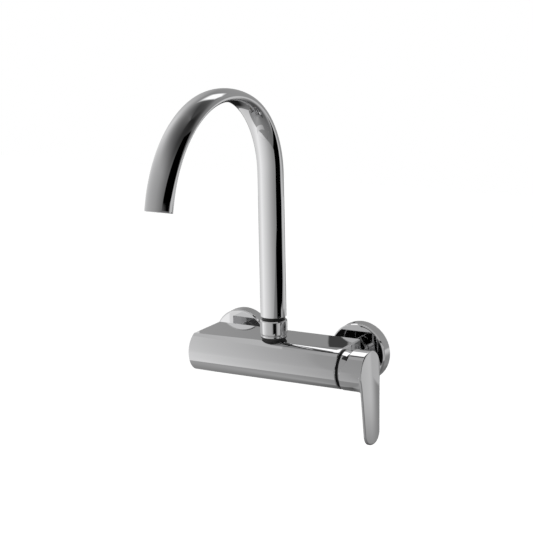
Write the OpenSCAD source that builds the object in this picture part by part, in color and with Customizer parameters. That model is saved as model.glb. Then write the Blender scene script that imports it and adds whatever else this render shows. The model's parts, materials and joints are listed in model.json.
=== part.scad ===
// Wall-mounted single-lever sink mixer with a swivelling gooseneck spout.
// Frame: origin on the wall, midway between the two wall threads.
// +X runs along the bar to the lever, -Y comes out of the wall, +Z is up.

/* [Wall connection] */
// Distance between the two wall threads
inlet_spacing = 150; // [146:0.5:156]
// Height of the bar's inlets above the wall threads, given by the eccentric unions
union_rise = 6; // [3:0.5:8]
// Radius of the G1/2 wall thread
wall_thread_r = 10.48; // [10:0.02:11]
// Length of the wall thread behind the wall's face
wall_thread_len = 22; // [14:0.5:30]
// Radius of the G3/4 union thread
union_thread_r = 13.2; // [12.8:0.05:13.6]
// Outer diameter of an escutcheon
escutcheon_d = 68; // [62:0.5:76]
// Depth of an escutcheon from the wall to its front face
escutcheon_depth = 14.5; // [13:0.5:18]
// Wall of the pressed escutcheons
escutcheon_wall = 1.2; // [0.8:0.1:2]
// Width across the flats of a union nut
nut_flats = 30; // [29:0.5:32]
// Length of a union nut
nut_len = 14; // [13:0.5:17]

/* [Body bar] */
// Bar length from its middle to the closed left end
bar_left = 94.5; // [88:0.5:110]
// Bar length from its middle to the lever end
bar_right = 87.5; // [84:0.5:92]
// Radius of the round front at the closed end
bar_r_left = 23.2; // [23:0.1:24.5]
// Radius of the round front at the lever end
bar_r_right = 23.6; // [23.6:0.1:24]
// How far the round front moves out towards the closed end
bar_swell = 6; // [2:0.1:7]
// How far the round front rises towards the closed end
bar_lift = 2.6; // [1:0.1:3.2]
// Height of the flat top above the bar's axis
bar_top = 23.5; // [23.4:0.05:23.5]
// Depth of the flat underside below the bar's axis
bar_under = 20; // [19:0.1:21]
// Distance from the back of the bar to the cartridge axis
bar_depth = 39.3; // [37:0.1:44]
// How far the bar's axis lies below its inlets
bar_drop = 2; // [0:0.5:3]
// Chamfer along the bar's lower back edge
bar_chamfer = 4; // [1:0.5:8]
// Radius of the waterways
channel_r = 3.6; // [3:0.1:4]

/* [Spout] */
// Outer radius of the spout tube at its base
tube_r = 14.3; // [14:0.1:15]
// Wall of the spout tube
tube_wall = 1.3; // [1:0.1:1.6]
// Height of the straight tube from the bar's axis to the start of the bend
riser_h = 207.9; // [150:0.5:260]
// Radius of the first bend
bend_1_r = 97.3; // [85:0.1:115]
// Angle of the first bend
bend_1_a = 68.5; // [60:0.5:75]
// Radius of the second bend
bend_2_r = 119; // [100:0.5:140]
// Angle of the second bend
bend_2_a = 77; // [70:0.5:85]
// Radius of the last bend
bend_3_r = 122; // [90:0.5:170]
// Angle of the last bend
bend_3_a = 20; // [10:0.5:25]
// Straight length at the tip
tip_len = 10; // [8:0.5:20]
// Half width of the flattened tube at the crown
crown_half_w = 15.2; // [14.5:0.1:16.5]
// Half thickness of the flattened tube at the crown
crown_half_t = 7.2; // [6.8:0.1:9]
// Half width of the tube at the tip
tip_half_w = 16.2; // [15.5:0.1:18]
// Half thickness of the tube at the tip
tip_half_t = 8.4; // [8.4:0.1:10]
// Length over which the round tube turns oval
oval_run = 118; // [80:1:120]

/* [Spout socket] */
// Radius of the thread that holds the socket in the bar
socket_r = 12; // [11.5:0.1:12.4]
// Depth of the socket in the bar
socket_depth = 13; // [10:0.5:15]
// Thickness of the black gasket under the socket's flange
gasket_t = 3.3; // [1:0.1:4]
// Thickness of the socket's flange
socket_flange_t = 2.4; // [1.5:0.1:3]
// Radius of the socket's bore, which the spout turns in
swivel_r = 9.1; // [8.6:0.1:9.4]
// Radius of the collar nut
collar_r = 15.1; // [14.9:0.1:16.5]
// Height of the collar nut
collar_h = 16; // [15:0.5:20]
// Height of the black bearing ring between collar and tube
bearing_h = 3.8; // [2:0.1:6]
// Radius of the bearing ring
bearing_r = 12.9; // [12:0.1:13.5]

/* [Cartridge] */
// Radius of the ceramic cartridge
cart_r = 17.5; // [17.3:0.1:17.6]
// Depth of the cartridge chamber
chamber_depth = 32; // [31:0.5:34]
// Height of the cartridge base
base_t = 7; // [6:0.1:8]
// Thickness of each ceramic disc
disc_t = 3.2; // [2.5:0.1:3.4]
// Radius of the moving disc
moving_disc_r = 12.3; // [11.5:0.1:12.3]
// Radius of the retaining nut's thread
retainer_r = 19; // [18.6:0.1:19.2]
// Radius of the cartridge's ports
port_r = 2.6; // [2:0.1:2.8]
// Length of the lever stem's inner arm, from its pivot to its ball
arm_len = 16.4; // [16.4:0.1:17]
// Size of the square stem
stem_sq = 8; // [7:0.5:9]

/* [Lever] */
// Radius of the lever's hub
hub_r = 23.2; // [22.8:0.1:23.6]
// Radial wall of the hub
hub_wall = 1.5; // [1:0.1:1.7]
// Distance from the bar's end to the lever's outer face
lever_out = 33; // [31:0.5:38]
// Length of the lever from the cartridge axis to its tip
lever_len = 81.3; // [60:0.5:110]
// Half width of the blade where its round tip starts
blade_half_w = 16.9; // [12:0.1:20]
// Height of the round tip
tip_round = 14.6; // [10:0.1:20]
// Thickness of the blade
blade_t = 3.6; // [2.5:0.1:5]
// Outward lean of the lever's face
blade_lean = 1.4; // [0:0.1:2]
// Radius of the fillet between hub and blade
cove_r = 7; // [2:0.5:8]
// Width of the black gap between the bar and the dome
gap_w = 2.8; // [2:0.1:3]
// Radius of the black gap ring
gap_ring_r = 20.4; // [19.6:0.1:20.8]
// Distance from the bar's end to the hub's rear edge at the bottom
hub_rear = 2.4; // [1.5:0.1:3]
// Smallest gap left between hub and bar at full lift
lift_gap = 1; // [0.5:0.1:2]
// Full lift of the lever
lift_max = 18; // [12:0.5:18]

/* [Hidden] */
$fn = 64;

// Clearances: threads and glued seats, running fits, and moving pieces kept apart
seat_gap = 0.05;
run_gap = 0.05;
move_gap = 0.4;
face_gap = 0.1;
over = 1;           // overshoot of a cut past the face it opens
far = 4 * bar_left; // larger than anything that a cut has to take off
edge_break = 0.6;   // small chamfer on turned edges

// Axes and planes
inlet_x = inlet_spacing / 2;
inlet_z = union_rise;
bar_z = inlet_z - bar_drop;
nut_front_gap = 0.7;                       // nut to escutcheon
nut_back_gap = 0.3;                        // nut to bar
bar_back = escutcheon_depth + nut_front_gap + nut_len + nut_back_gap;
bar_y = -(bar_back + bar_depth);
top_z = bar_z + bar_top;
end_x = bar_right;

// Inlet stack, as distances from the wall
lip_t = 2.2;                               // lip of the union nut
nipple_flange_t = 2.5;
washer_t = 2;
nut_y0 = escutcheon_depth + nut_front_gap;
nut_y1 = nut_y0 + nut_len;
lip_y = nut_y1 - lip_t;
washer_y1 = lip_y - nipple_flange_t;
union_y1 = washer_y1 - washer_t;
nipple_r = 10;
nipple_bore_r = 6.5;
nipple_in = 13;                            // thread depth in the bar
nipple_neck_r = nipple_r + 0.3;
union_neck_t = 6;
union_neck_r = 16;
escutcheon_collar_t = 2;
escutcheon_collar_len = 5.5;
bevel = 1.6;

// Heights on the spout axis, counted from the bar's flat top
flange_h0 = gasket_t;
flange_h1 = flange_h0 + socket_flange_t;
collar_h0 = flange_h1 + 0.8;
collar_h1 = collar_h0 + collar_h;
slide_t = 2;
collar_lip = 2;
slide_h1 = collar_h1 - collar_lip - face_gap;
slide_h0 = slide_h1 - slide_t;
socket_h1 = slide_h0 - face_gap;
tube_h0 = collar_h1 + bearing_h;
stem_head_len = 14;
socket_flange_r = collar_r - 0.7;
stem_neck_r = swivel_r + 1.2;
spout_bore_r = 6.5;
slide_groove_r = swivel_r - 0.9;
o_ring_t = 0.85;
o_ring_r = swivel_r - run_gap - o_ring_t;
o_ring_heights = [2 - socket_depth / 2, 8 - socket_depth / 2];

// Positions along the cartridge axis
seat_x = end_x - chamber_depth;
base_x1 = seat_x + base_t;
fixed_x1 = base_x1 + disc_t;
moving_x0 = fixed_x1 + face_gap;
moving_x1 = moving_x0 + disc_t;
driver_t = 3.9;
driver_x1 = moving_x1 + driver_t;
ball_r = 2.4;
ball_x = moving_x1 + 0.2 + ball_r;
pivot_x = ball_x + arm_len;
rotor_x0 = driver_x1 + 0.3;
rotor_flange_t = 4.8;
rotor_x1 = rotor_x0 + rotor_flange_t;
retainer_in = 6;                           // retaining nut inside the bar
retainer_out = 6;                          // its neck outside
housing_x1 = end_x - retainer_in;
rotor_top_x = pivot_x + 5;
rotor_r = 10.4;
housing_wall = 2.2;
chamber_r = cart_r + 0.1;
chamber_mouth_r = retainer_r + seat_gap;
neck_x1 = end_x + retainer_out;
neck_r = retainer_r - 0.6;
gap_x1 = end_x + gap_w;
dome_r = hub_r - hub_wall - move_gap;
dome_wall = 1.2;
dome_flange_t = 2;
dome_open_r = 15;
rim_a = asin(dome_open_r / dome_r);
disc_travel = arm_len * sin(lift_max);
pin_r = 1.8;
slot_half_y = 3.2;
arm_half_y = slot_half_y - 0.3;

// Ports of the cartridge, as [y, z] from its axis
hot_port = [-6.5, 2];
cold_port = [6.5, 2];
mix_port = [0, -7.5];
ports = [hot_port, cold_port, mix_port];
hot_x = seat_x - 14;
cold_x = seat_x - 4.5;
channel_y = -(bar_back + nipple_in + 1.5);
mix_cavity_r = 7;                          // hollow of the moving disc, which joins the ports

// Cored chambers of the casting: hot water on the left, mixed water on the right
core_h = bar_r_right - 5.5;
core_low = bar_under - 5;
core_front = bar_r_right - 4.6;
core_corner = 8;
hot_core_x = [-bar_left + 4.5, -socket_r - 5];
mix_core_x = [socket_r + 5, hot_x - channel_r - 3.5];
hot_core_y = -(bar_back + 4.5);
boss_r = nipple_r + 4;                     // boss left round the inlet thread
mix_core_y = channel_y - channel_r - 2.5;

// Lever
face_x = end_x + lever_out;
lean_z = 15;                               // depth below the axis where the face is at face_x
ceiling_x = pivot_x + dome_r * cos(rim_a - lift_max) + move_gap;
rear_top_x = pivot_x + (end_x + lift_gap - pivot_x + hub_r * sin(lift_max)) / cos(lift_max);
rear_bottom_x = end_x + hub_rear;
rear_tilt = atan((rear_top_x - rear_bottom_x) / (2 * hub_r));
stem_sq_x0 = pivot_x + 8;
stem_x1 = face_x - blade_t - 1.5;
screw_x = (ceiling_x + stem_x1) / 2;
screw_r = 2.5;
screw_len = 10;
plug_r = 3;
plug_len = 3;

// Spout path: height where the bend starts and the list of [length, curvature] runs
bend_z = bar_z + riser_h;
rad = PI / 180;
runs = [[bend_1_r * bend_1_a * rad, 1 / bend_1_r], [bend_2_r * bend_2_a * rad, 1 / bend_2_r],
    [bend_3_r * bend_3_a * rad, 1 / bend_3_r], [tip_len, 0]];
bend_len = runs[0][0] + runs[1][0] + runs[2][0] + runs[3][0];
ring_sides = 32;
ring_count = 44;

// ---- Helpers ----

module on_inlet(side, depth) {
    translate([side * inlet_x, -depth, inlet_z]) rotate([90, 0, 0]) children();
}

module on_cartridge(x) {
    translate([x, bar_y, bar_z]) rotate([0, 90, 0]) children();
}

module on_spout(h) {
    translate([0, bar_y, top_z + h]) children();
}

// Turned piece from r0 to r1, t long, with both outer edges broken
module turned(r1, r0, t, c = edge_break) {
    rotate_extrude($fn = 96)
        polygon([[r0, 0], [r1 - c, 0], [r1, c], [r1, t - c], [r1 - c, t], [r0, t]]);
}

module ring(r1, r0, t) {
    difference() {
        cylinder(r = r1, h = t);
        translate([0, 0, -over]) cylinder(r = r0, h = t + 2 * over);
    }
}

module o_ring(r, t) {
    rotate_extrude($fn = 96) translate([r, 0]) circle(r = t, $fn = 24);
}

// Everything below the lever's outer face, moved back by off
module behind_face(off) {
    translate([face_x, bar_y, bar_z - lean_z]) rotate([0, -blade_lean, 0])
        translate([-far - off, -far / 2, -far / 2]) cube(far);
}

// ---- Body bar ----

// The round front's axis meets the cartridge axis at the lever end, and from there it runs out
// and up towards the closed end
front_len = bar_left + bar_right;
front_axis_len = norm([front_len, bar_swell, bar_lift]);
front_r_step = (bar_r_right - bar_r_left) / front_axis_len;
front_turn = atan(bar_swell / front_len);
front_dip = asin(bar_lift / front_axis_len);
front_over = 4;

module bar_front() {
    translate([-bar_left, bar_y - bar_swell, bar_z + bar_lift]) rotate([0, 0, front_turn])
        rotate([0, 90 + front_dip, 0]) translate([0, 0, -front_over])
            cylinder(h = front_axis_len + 2 * front_over,
                r1 = bar_r_left - front_over * front_r_step,
                r2 = bar_r_right + front_over * front_r_step, $fn = 128);
}

module bar_block() {
    translate([-bar_left, 0, bar_z]) rotate([90, 0, 90]) linear_extrude(front_len)
        polygon([[bar_y, -bar_under], [-bar_back - bar_chamfer, -bar_under],
            [-bar_back, -bar_under + bar_chamfer], [-bar_back, bar_top], [bar_y, bar_top]]);
}

module bar_limits() {
    translate([-bar_left, -far, top_z - far]) cube([front_len, far, far]);
}

module port_drill(port, x0, r) {
    on_cartridge(x0) translate([-port[1], port[0], 0]) cylinder(r = r, h = seat_x - x0 + over);
}

module cross_drill(x, port) {
    translate([x, channel_y, bar_z + port[1]]) rotate([90, 0, 0])
        cylinder(r = channel_r, h = channel_y - bar_y - port[0] + port_r);
}

// Cored chamber from x[0] to x[1], reaching back to y_back
module core(x, y_back) {
    translate([x[0], 0, bar_z]) rotate([90, 0, 90]) linear_extrude(x[1] - x[0])
        polygon([[y_back, -core_low], [bar_y - core_corner, -core_low],
            [bar_y - core_front, -core_corner], [bar_y - core_front, core_corner],
            [bar_y - core_corner, core_h], [y_back, core_h]]);
}

module waterways() {
    translate([-inlet_x, channel_y, bar_z + hot_port[1]]) rotate([0, 90, 0])
        cylinder(r = channel_r, h = inlet_x + hot_x);
    translate([cold_x, channel_y, bar_z + cold_port[1]]) rotate([0, 90, 0])
        cylinder(r = channel_r, h = inlet_x - cold_x);
    cross_drill(hot_x, hot_port);
    cross_drill(cold_x, cold_port);
    port_drill(hot_port, hot_x, port_r);
    port_drill(cold_port, cold_x, port_r);
    port_drill(mix_port, 0, port_r);
    difference() {
        core(hot_core_x, hot_core_y);
        on_inlet(-1, bar_back) cylinder(r = boss_r, h = nipple_in + channel_r);
    }
    core(mix_core_x, mix_core_y);
}

module mixer_body() {
    color("silver") difference() {
        intersection() {
            union() {
                bar_front();
                bar_block();
            }
            bar_limits();
        }
        on_cartridge(seat_x) cylinder(r = chamber_r, h = chamber_depth + over);
        on_cartridge(housing_x1) cylinder(r = chamber_mouth_r, h = end_x - housing_x1 + over);
        for (side = [-1, 1])
            on_inlet(side, bar_back - over) cylinder(r = nipple_r + seat_gap, h = nipple_in + over + 1);
        on_spout(-socket_depth) cylinder(r = socket_r + seat_gap, h = socket_depth + over);
        on_spout(mix_port[1] - bar_top - channel_r)
            cylinder(r = swivel_r, h = bar_top - mix_port[1] + channel_r);
        waterways();
    }
}

// ---- Inlets ----

module inlet_nipple(side) {
    color("gold") on_inlet(side, washer_y1) difference() {
        union() {
            cylinder(r = union_thread_r - 0.8, h = nipple_flange_t);
            cylinder(r = nipple_neck_r, h = bar_back - washer_y1);
            cylinder(r = nipple_r, h = bar_back - washer_y1 + nipple_in);
        }
        translate([0, 0, -over]) cylinder(r = nipple_bore_r, h = bar_back);
    }
}

module seal_washer(side) {
    color("dimgray") on_inlet(side, union_y1) ring(union_thread_r - 0.4, nipple_bore_r, washer_t);
}

module union_nut(side) {
    corner_r = nut_flats / 2 / cos(30);
    color("silver") on_inlet(side, nut_y0) difference() {
        intersection() {
            cylinder(r = corner_r, h = nut_len, $fn = 6);
            turned(corner_r, 0, nut_len, 1.4);
        }
        translate([0, 0, -over])
            cylinder(r = union_thread_r + seat_gap, h = over + nut_len - lip_t);
        cylinder(r = nipple_neck_r + seat_gap, h = nut_len + over);
    }
}

module s_union(side) {
    color("gold") difference() {
        union() {
            on_inlet(side, 0) cylinder(r = union_thread_r, h = union_y1);
            translate([side * inlet_x, 0, union_rise / 2]) rotate([90, 0, 0])
                cylinder(r = union_neck_r, h = union_neck_t);
            translate([side * inlet_x, wall_thread_len, 0]) rotate([90, 0, 0])
                cylinder(r = wall_thread_r, h = wall_thread_len + over);
        }
        on_inlet(side, 3) cylinder(r = 8.5, h = union_y1);
        translate([side * inlet_x, wall_thread_len + over, 0]) rotate([90, 0, 0])
            cylinder(r = 7, h = wall_thread_len + over + 4);
    }
}

module escutcheon(side) {
    r = escutcheon_d / 2;
    w = escutcheon_wall;
    hole_r = union_thread_r + seat_gap;
    collar_r0 = hole_r + escutcheon_collar_t;
    d = escutcheon_depth;
    color("silver") on_inlet(side, 0) rotate_extrude($fn = 128)
        polygon([[r - w, 0], [r, 0], [r - 0.2, d - bevel], [r - bevel, d], [hole_r, d],
            [hole_r, d - escutcheon_collar_len], [collar_r0, d - escutcheon_collar_len],
            [collar_r0, d - w], [r - bevel - w / 2, d - w], [r - w - 0.2, d - bevel - w / 2]]);
}

// ---- Spout socket and collar, fixed to the bar ----

module spout_socket() {
    color("silver") on_spout(-socket_depth) difference() {
        union() {
            cylinder(r = socket_r, h = socket_depth + flange_h1);
            translate([0, 0, socket_depth + flange_h0])
                turned(socket_flange_r, 0, socket_flange_t, 0.4);
            cylinder(r = socket_r, h = socket_depth + socket_h1);
            translate([0, 0, socket_depth + flange_h1])
                cylinder(r = union_thread_r, h = socket_h1 - flange_h1);
        }
        translate([0, 0, -over]) cylinder(r = swivel_r, h = socket_depth + socket_h1 + 2 * over);
    }
}

module socket_gasket() {
    color("black") on_spout(0) ring(socket_flange_r, socket_r + seat_gap, gasket_t);
}

module collar_nut() {
    color("silver") on_spout(collar_h0) difference() {
        turned(collar_r, 0, collar_h, 0.7);
        translate([0, 0, -over])
            cylinder(r = union_thread_r + seat_gap, h = over + collar_h - collar_lip);
        cylinder(r = stem_neck_r + 0.3, h = collar_h + over);
    }
}

// ---- Cartridge, fixed part ----

module port_holes(x0, x1, r) {
    for (p = ports)
        on_cartridge(x0 - over) translate([-p[1], p[0], 0]) cylinder(r = r, h = x1 - x0 + 2 * over);
}

seal_r = 4.2;
seal_t = 1.5;
base_groove_r = cart_r - 1.6;
groove_w = 2;

module cartridge_base() {
    color("dimgray") difference() {
        on_cartridge(seat_x) cylinder(r = cart_r, h = base_t);
        port_holes(seat_x, base_x1, port_r);
        for (p = ports)
            on_cartridge(seat_x - over) translate([-p[1], p[0], 0])
                cylinder(r = seal_r + seat_gap, h = over + seal_t);
        on_cartridge(seat_x + (base_t - groove_w) / 2) ring(cart_r + over, base_groove_r, groove_w);
    }
}

module port_seals() {
    color("black") for (p = ports)
        on_cartridge(seat_x) translate([-p[1], p[0], 0]) ring(seal_r, port_r, seal_t);
}

module cartridge_o_ring() {
    color("black") on_cartridge(seat_x + base_t / 2)
        o_ring(base_groove_r + 0.8, 0.8);
}

module fixed_disc() {
    color("white") difference() {
        on_cartridge(base_x1) cylinder(r = cart_r - housing_wall - run_gap, h = disc_t);
        port_holes(base_x1, fixed_x1, port_r);
    }
}

module cartridge_housing() {
    color("white") on_cartridge(base_x1) difference() {
        cylinder(r = cart_r, h = housing_x1 - base_x1);
        translate([0, 0, -over])
            cylinder(r = cart_r - housing_wall, h = over + rotor_x1 - base_x1 + face_gap);
        cylinder(r = rotor_r + run_gap, h = housing_x1);
    }
}

module retaining_nut() {
    color("gold") on_cartridge(housing_x1) difference() {
        union() {
            cylinder(r = retainer_r, h = end_x - housing_x1);
            cylinder(r = neck_r, h = neck_x1 - housing_x1);
        }
        translate([0, 0, -over]) cylinder(r = rotor_r + 1.1, h = over + neck_x1);
        translate([0, 0, end_x - housing_x1]) cylinder(r = dome_open_r, h = neck_x1);
    }
}

module gap_ring() {
    color("black") on_cartridge(end_x) ring(gap_ring_r, neck_r + seat_gap, gap_w);
}

// Half section of the dome, radius along x and distance from its foot along y
module dome_section() {
    difference() {
        translate([0, pivot_x - gap_x1]) circle(r = dome_r, $fn = 128);
        difference() {
            translate([0, pivot_x - gap_x1]) circle(r = dome_r - dome_wall, $fn = 128);
            translate([neck_r + seat_gap, -over]) square([hub_r, over + dome_flange_t]);
        }
        translate([-hub_r, -2 * hub_r]) square([3 * hub_r, 2 * hub_r]);
        translate([-hub_r, -over]) square([hub_r + dome_open_r, 2 * hub_r]);
    }
}

module dome_cap() {
    color("silver") on_cartridge(gap_x1) rotate_extrude($fn = 128) dome_section();
}

// ---- Spout ----

// Point, as [y, z, turn], at distance s along the bends
function step(p, len, k) = k == 0
    ? [p[0] - len * sin(p[2]), p[1] + len * cos(p[2]), p[2]]
    : let (a = len * k / rad)
        [p[0] - (cos(p[2]) - cos(p[2] + a)) / k, p[1] + (sin(p[2] + a) - sin(p[2])) / k, p[2] + a];
function path(s, p = [bar_y, bend_z, 0], i = 0) =
    i == 3 || s <= runs[i][0] ? step(p, s, runs[i][1])
        : path(s - runs[i][0], step(p, runs[i][0], runs[i][1]), i + 1);

// Half width and half thickness at distance s past the start of the bends
lead = 8;                                  // the tube starts to flatten this far below the bend
function blend(t) = let (u = min(1, max(0, t))) u * u * (3 - 2 * u);
function oval(s, at_base, at_crown, at_tip) = let (t = (s + lead) / (oval_run + lead))
    at_base + (at_crown - at_base) * blend(t)
        + (at_tip - at_crown) * blend((s - oval_run) / (bend_len - oval_run));
function half_w(s) = oval(s, tube_r, crown_half_w, tip_half_w);
function half_t(s) = oval(s, tube_r, crown_half_t, tip_half_t);

function ring_at(s, inset) = let (p = s < 0 ? [bar_y, bend_z + s, 0] : path(s))
    [for (i = [0 : ring_sides - 1]) let (a = 360 * i / ring_sides,
        u = (half_w(s) - inset) * cos(a), v = (half_t(s) - inset) * sin(a))
        [u, p[0] + v * cos(p[2]), p[1] + v * sin(p[2])]];

// Stations: the tube's foot, the start of the flattening, then even steps to the tip
foot_s = top_z + tube_h0 - bend_z;
stations = concat([foot_s], [for (i = [0 : ring_count]) -lead + i * (bend_len + lead) / ring_count]);

// Closed skin through the stations' rings, capped at both ends
module swept(list, inset) {
    n = ring_sides;
    m = len(list);
    pts = [for (s = list) each ring_at(s, inset)];
    sides = [for (j = [0 : m - 2], i = [0 : n - 1]) let (k = (i + 1) % n)
        each [[j * n + i, (j + 1) * n + k, j * n + k], [j * n + i, (j + 1) * n + i, (j + 1) * n + k]]];
    foot = [for (i = [0 : n - 1]) i];
    tip = [for (i = [n - 1 : -1 : 0]) (m - 1) * n + i];
    polyhedron(points = pts, faces = concat(sides, [foot], [tip]));
}

module spout_tube() {
    color("silver") difference() {
        swept(stations, 0);
        swept(concat([foot_s - over], [for (i = [1 : len(stations) - 1]) stations[i]],
            [bend_len + over]), tube_wall);
    }
}

module spout_stem() {
    color("gold") on_spout(0) difference() {
        union() {
            translate([0, 0, 3 - socket_depth])
                cylinder(r = swivel_r - run_gap, h = socket_depth - 3 + slide_h0);
            cylinder(r = slide_groove_r, h = tube_h0);
            translate([0, 0, slide_h1]) cylinder(r = stem_neck_r, h = tube_h0 - slide_h1 + over);
            translate([0, 0, tube_h0])
                cylinder(r = tube_r - tube_wall - seat_gap, h = stem_head_len);
        }
        translate([0, 0, -socket_depth]) cylinder(r = spout_bore_r, h = socket_depth + tube_h0 * 2);
        for (h = o_ring_heights)
            translate([0, 0, h - o_ring_t - run_gap])
                ring(swivel_r + over, o_ring_r - o_ring_t, 2 * (o_ring_t + run_gap));
    }
}

module spout_o_rings() {
    color("black") for (h = o_ring_heights) on_spout(h) o_ring(o_ring_r, o_ring_t);
}

module slide_ring() {
    color("white") on_spout(slide_h0) ring(union_thread_r - 0.4, slide_groove_r, slide_t);
}

module bearing_ring() {
    color("black") on_spout(collar_h1 + face_gap)
        ring(bearing_r, stem_neck_r, bearing_h - face_gap);
}

// ---- Outlet ----

insert_len = 7;
aerator_r = 5.5;
aerator_len = 6;
aerator_wall = 0.9;
aerator_lip = 1;

module at_tip(depth) {
    p = path(bend_len - depth);
    translate([0, p[0], p[1]]) rotate([p[2], 0, 0]) children();
}

module outlet_insert() {
    fit = tube_wall + seat_gap;
    color("dimgray") at_tip(insert_len + 0.5) difference() {
        linear_extrude(insert_len)
            polygon([for (i = [0 : ring_sides - 1]) let (a = 360 * i / ring_sides)
                [(tip_half_w - fit) * cos(a), (tip_half_t - fit) * sin(a)]]);
        translate([0, 0, -over]) cylinder(r = aerator_r + seat_gap, h = insert_len + 2 * over);
    }
}

module aerator_housing() {
    color("silver") at_tip(aerator_len + 0.5) difference() {
        cylinder(r = aerator_r, h = aerator_len);
        translate([0, 0, -over])
            cylinder(r = aerator_r - aerator_wall, h = over + aerator_len - aerator_lip);
        cylinder(r = aerator_r - 2 * aerator_wall, h = aerator_len + over);
    }
}

module flow_disc() {
    t = aerator_len - aerator_lip - 2;
    color("white") at_tip(0.5 + aerator_lip + t) difference() {
        cylinder(r = aerator_r - aerator_wall - seat_gap, h = t);
        for (i = [0 : 5]) rotate([0, 0, 60 * i]) translate([2.6, 0, -over])
            cylinder(r = 0.8, h = t + 2 * over, $fn = 24);
        translate([0, 0, -over]) cylinder(r = 0.8, h = t + 2 * over, $fn = 24);
    }
}

module aerator_seal() {
    color("black") at_tip(aerator_len + 0.5 + 1)
        ring(aerator_r, aerator_r - 2 * aerator_wall, 1);
}

// ---- Moving part of the cartridge ----

module slot(x0, x1, half_z) {
    translate([x0, bar_y - slot_half_y, bar_z - half_z]) cube([x1 - x0, 2 * slot_half_y, 2 * half_z]);
}

module rotor() {
    color("white") difference() {
        union() {
            on_cartridge(rotor_x0)
                cylinder(r = cart_r - housing_wall - run_gap, h = rotor_flange_t);
            on_cartridge(rotor_x0) cylinder(r = rotor_r, h = rotor_top_x - rotor_x0);
        }
        slot(rotor_x0 - over, rotor_top_x + over, disc_travel + ball_r + 0.6);
        translate([pivot_x, bar_y + rotor_r + over, bar_z]) rotate([90, 0, 0])
            cylinder(r = pin_r + seat_gap, h = 2 * (rotor_r + over));
    }
}

module stem_pin() {
    color("silver") translate([pivot_x, bar_y + rotor_r - 1, bar_z]) rotate([90, 0, 0])
        cylinder(r = pin_r, h = 2 * (rotor_r - 1));
}

module stem() {
    arm_r = 1.8;
    color("silver") difference() {
        union() {
            on_cartridge(ball_x) {
                sphere(r = ball_r);
                cylinder(r = arm_r, h = arm_len);
            }
            translate([pivot_x - 4, bar_y - arm_half_y, bar_z - 3.2])
                cube([stem_sq_x0 - pivot_x + 4 + over, 2 * arm_half_y, 6.4]);
            translate([stem_sq_x0, bar_y - stem_sq / 2, bar_z - stem_sq / 2])
                cube([stem_x1 - stem_sq_x0, stem_sq, stem_sq]);
        }
        translate([pivot_x, bar_y + stem_sq, bar_z]) rotate([90, 0, 0])
            cylinder(r = pin_r + run_gap, h = 2 * stem_sq);
    }
}

module moving_disc() {
    color("white") translate([0, 0, disc_travel / 2]) difference() {
        on_cartridge(moving_x0) cylinder(r = moving_disc_r, h = disc_t);
        on_cartridge(moving_x0 - over) cylinder(r = mix_cavity_r, h = over + disc_t / 2);
    }
}

module disc_driver() {
    color("dimgray") difference() {
        translate([0, 0, disc_travel / 2]) on_cartridge(moving_x1)
            cylinder(r = moving_disc_r, h = driver_t);
        on_cartridge(moving_x1 - over) cylinder(r = ball_r + 0.2, h = driver_t + 2 * over);
    }
}

// ---- Lever ----

// Half width of the blade at a depth below the axis
tip_power = 2.2;
blade_straight = lever_len - tip_round;
function blade_w(d) = hub_r + (blade_half_w - hub_r) * pow(d / blade_straight, 0.8);
blade_side = [for (i = [1 : 6]) let (d = blade_straight * pow(i / 6, 2)) [blade_w(d), -d]];
blade_tip = [for (a = [6 : 6 : 90]) [blade_half_w * pow(cos(a), 2 / tip_power),
    -blade_straight - tip_round * pow(sin(a), 2 / tip_power)]];
blade_edge = concat(blade_side, blade_tip);
blade_outline = concat(blade_edge,
    [for (i = [len(blade_edge) - 2 : -1 : 0]) [-blade_edge[i][0], blade_edge[i][1]]]);

module blade_prism() {
    translate([ceiling_x, bar_y, bar_z]) rotate([90, 0, 90])
        linear_extrude(lever_out) polygon(blade_outline);
}

module hub_rear_cut() {
    translate([rear_bottom_x, bar_y, bar_z - hub_r]) rotate([0, rear_tilt, 0])
        translate([-far, -far / 2, -far / 2]) cube(far);
}

// Fillet that runs round the hub's underside into the blade's back
module cove() {
    intersection() {
        on_cartridge(face_x - blade_t - cove_r) rotate_extrude($fn = 96) difference() {
            translate([hub_r - over, 0]) square([cove_r + over, cove_r + over]);
            translate([hub_r + cove_r, 0]) circle(r = cove_r, $fn = 48);
        }
        blade_prism();
        behind_face(blade_t / 2);
    }
}

module lever_handle() {
    color("silver") difference() {
        union() {
            difference() {
                intersection() {
                    on_cartridge(end_x) cylinder(r = hub_r, h = 2 * lever_out, $fn = 128);
                    behind_face(0);
                }
                hub_rear_cut();
            }
            difference() {
                intersection() {
                    blade_prism();
                    behind_face(0);
                }
                behind_face(blade_t);
            }
            cove();
        }
        on_cartridge(end_x) cylinder(r = hub_r - hub_wall, h = ceiling_x - end_x);
        translate([ceiling_x - over, bar_y - stem_sq / 2 - seat_gap, bar_z - stem_sq / 2 - seat_gap])
            cube([stem_x1 + 0.3 - ceiling_x + over, stem_sq + 2 * seat_gap, stem_sq + 2 * seat_gap]);
        translate([screw_x, bar_y, bar_z]) rotate([-90, 0, 0])
            cylinder(r = screw_r + seat_gap, h = hub_r + over);
        translate([screw_x, bar_y + hub_r - plug_len - 0.4, bar_z]) rotate([-90, 0, 0])
            cylinder(r = plug_r + seat_gap, h = hub_r);
    }
}

module grub_screw() {
    color("dimgray") translate([screw_x, bar_y + stem_sq / 2, bar_z]) rotate([-90, 0, 0])
        difference() {
            cylinder(r = screw_r, h = screw_len);
            translate([0, 0, screw_len - 2.5]) cylinder(r = 1.45, h = 3, $fn = 6);
        }
}

module screw_plug() {
    color("silver") translate([screw_x, bar_y + hub_r - plug_len - 0.4, bar_z])
        rotate([-90, 0, 0]) cylinder(r = plug_r, h = plug_len);
}

// ---- Assembly ----

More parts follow.
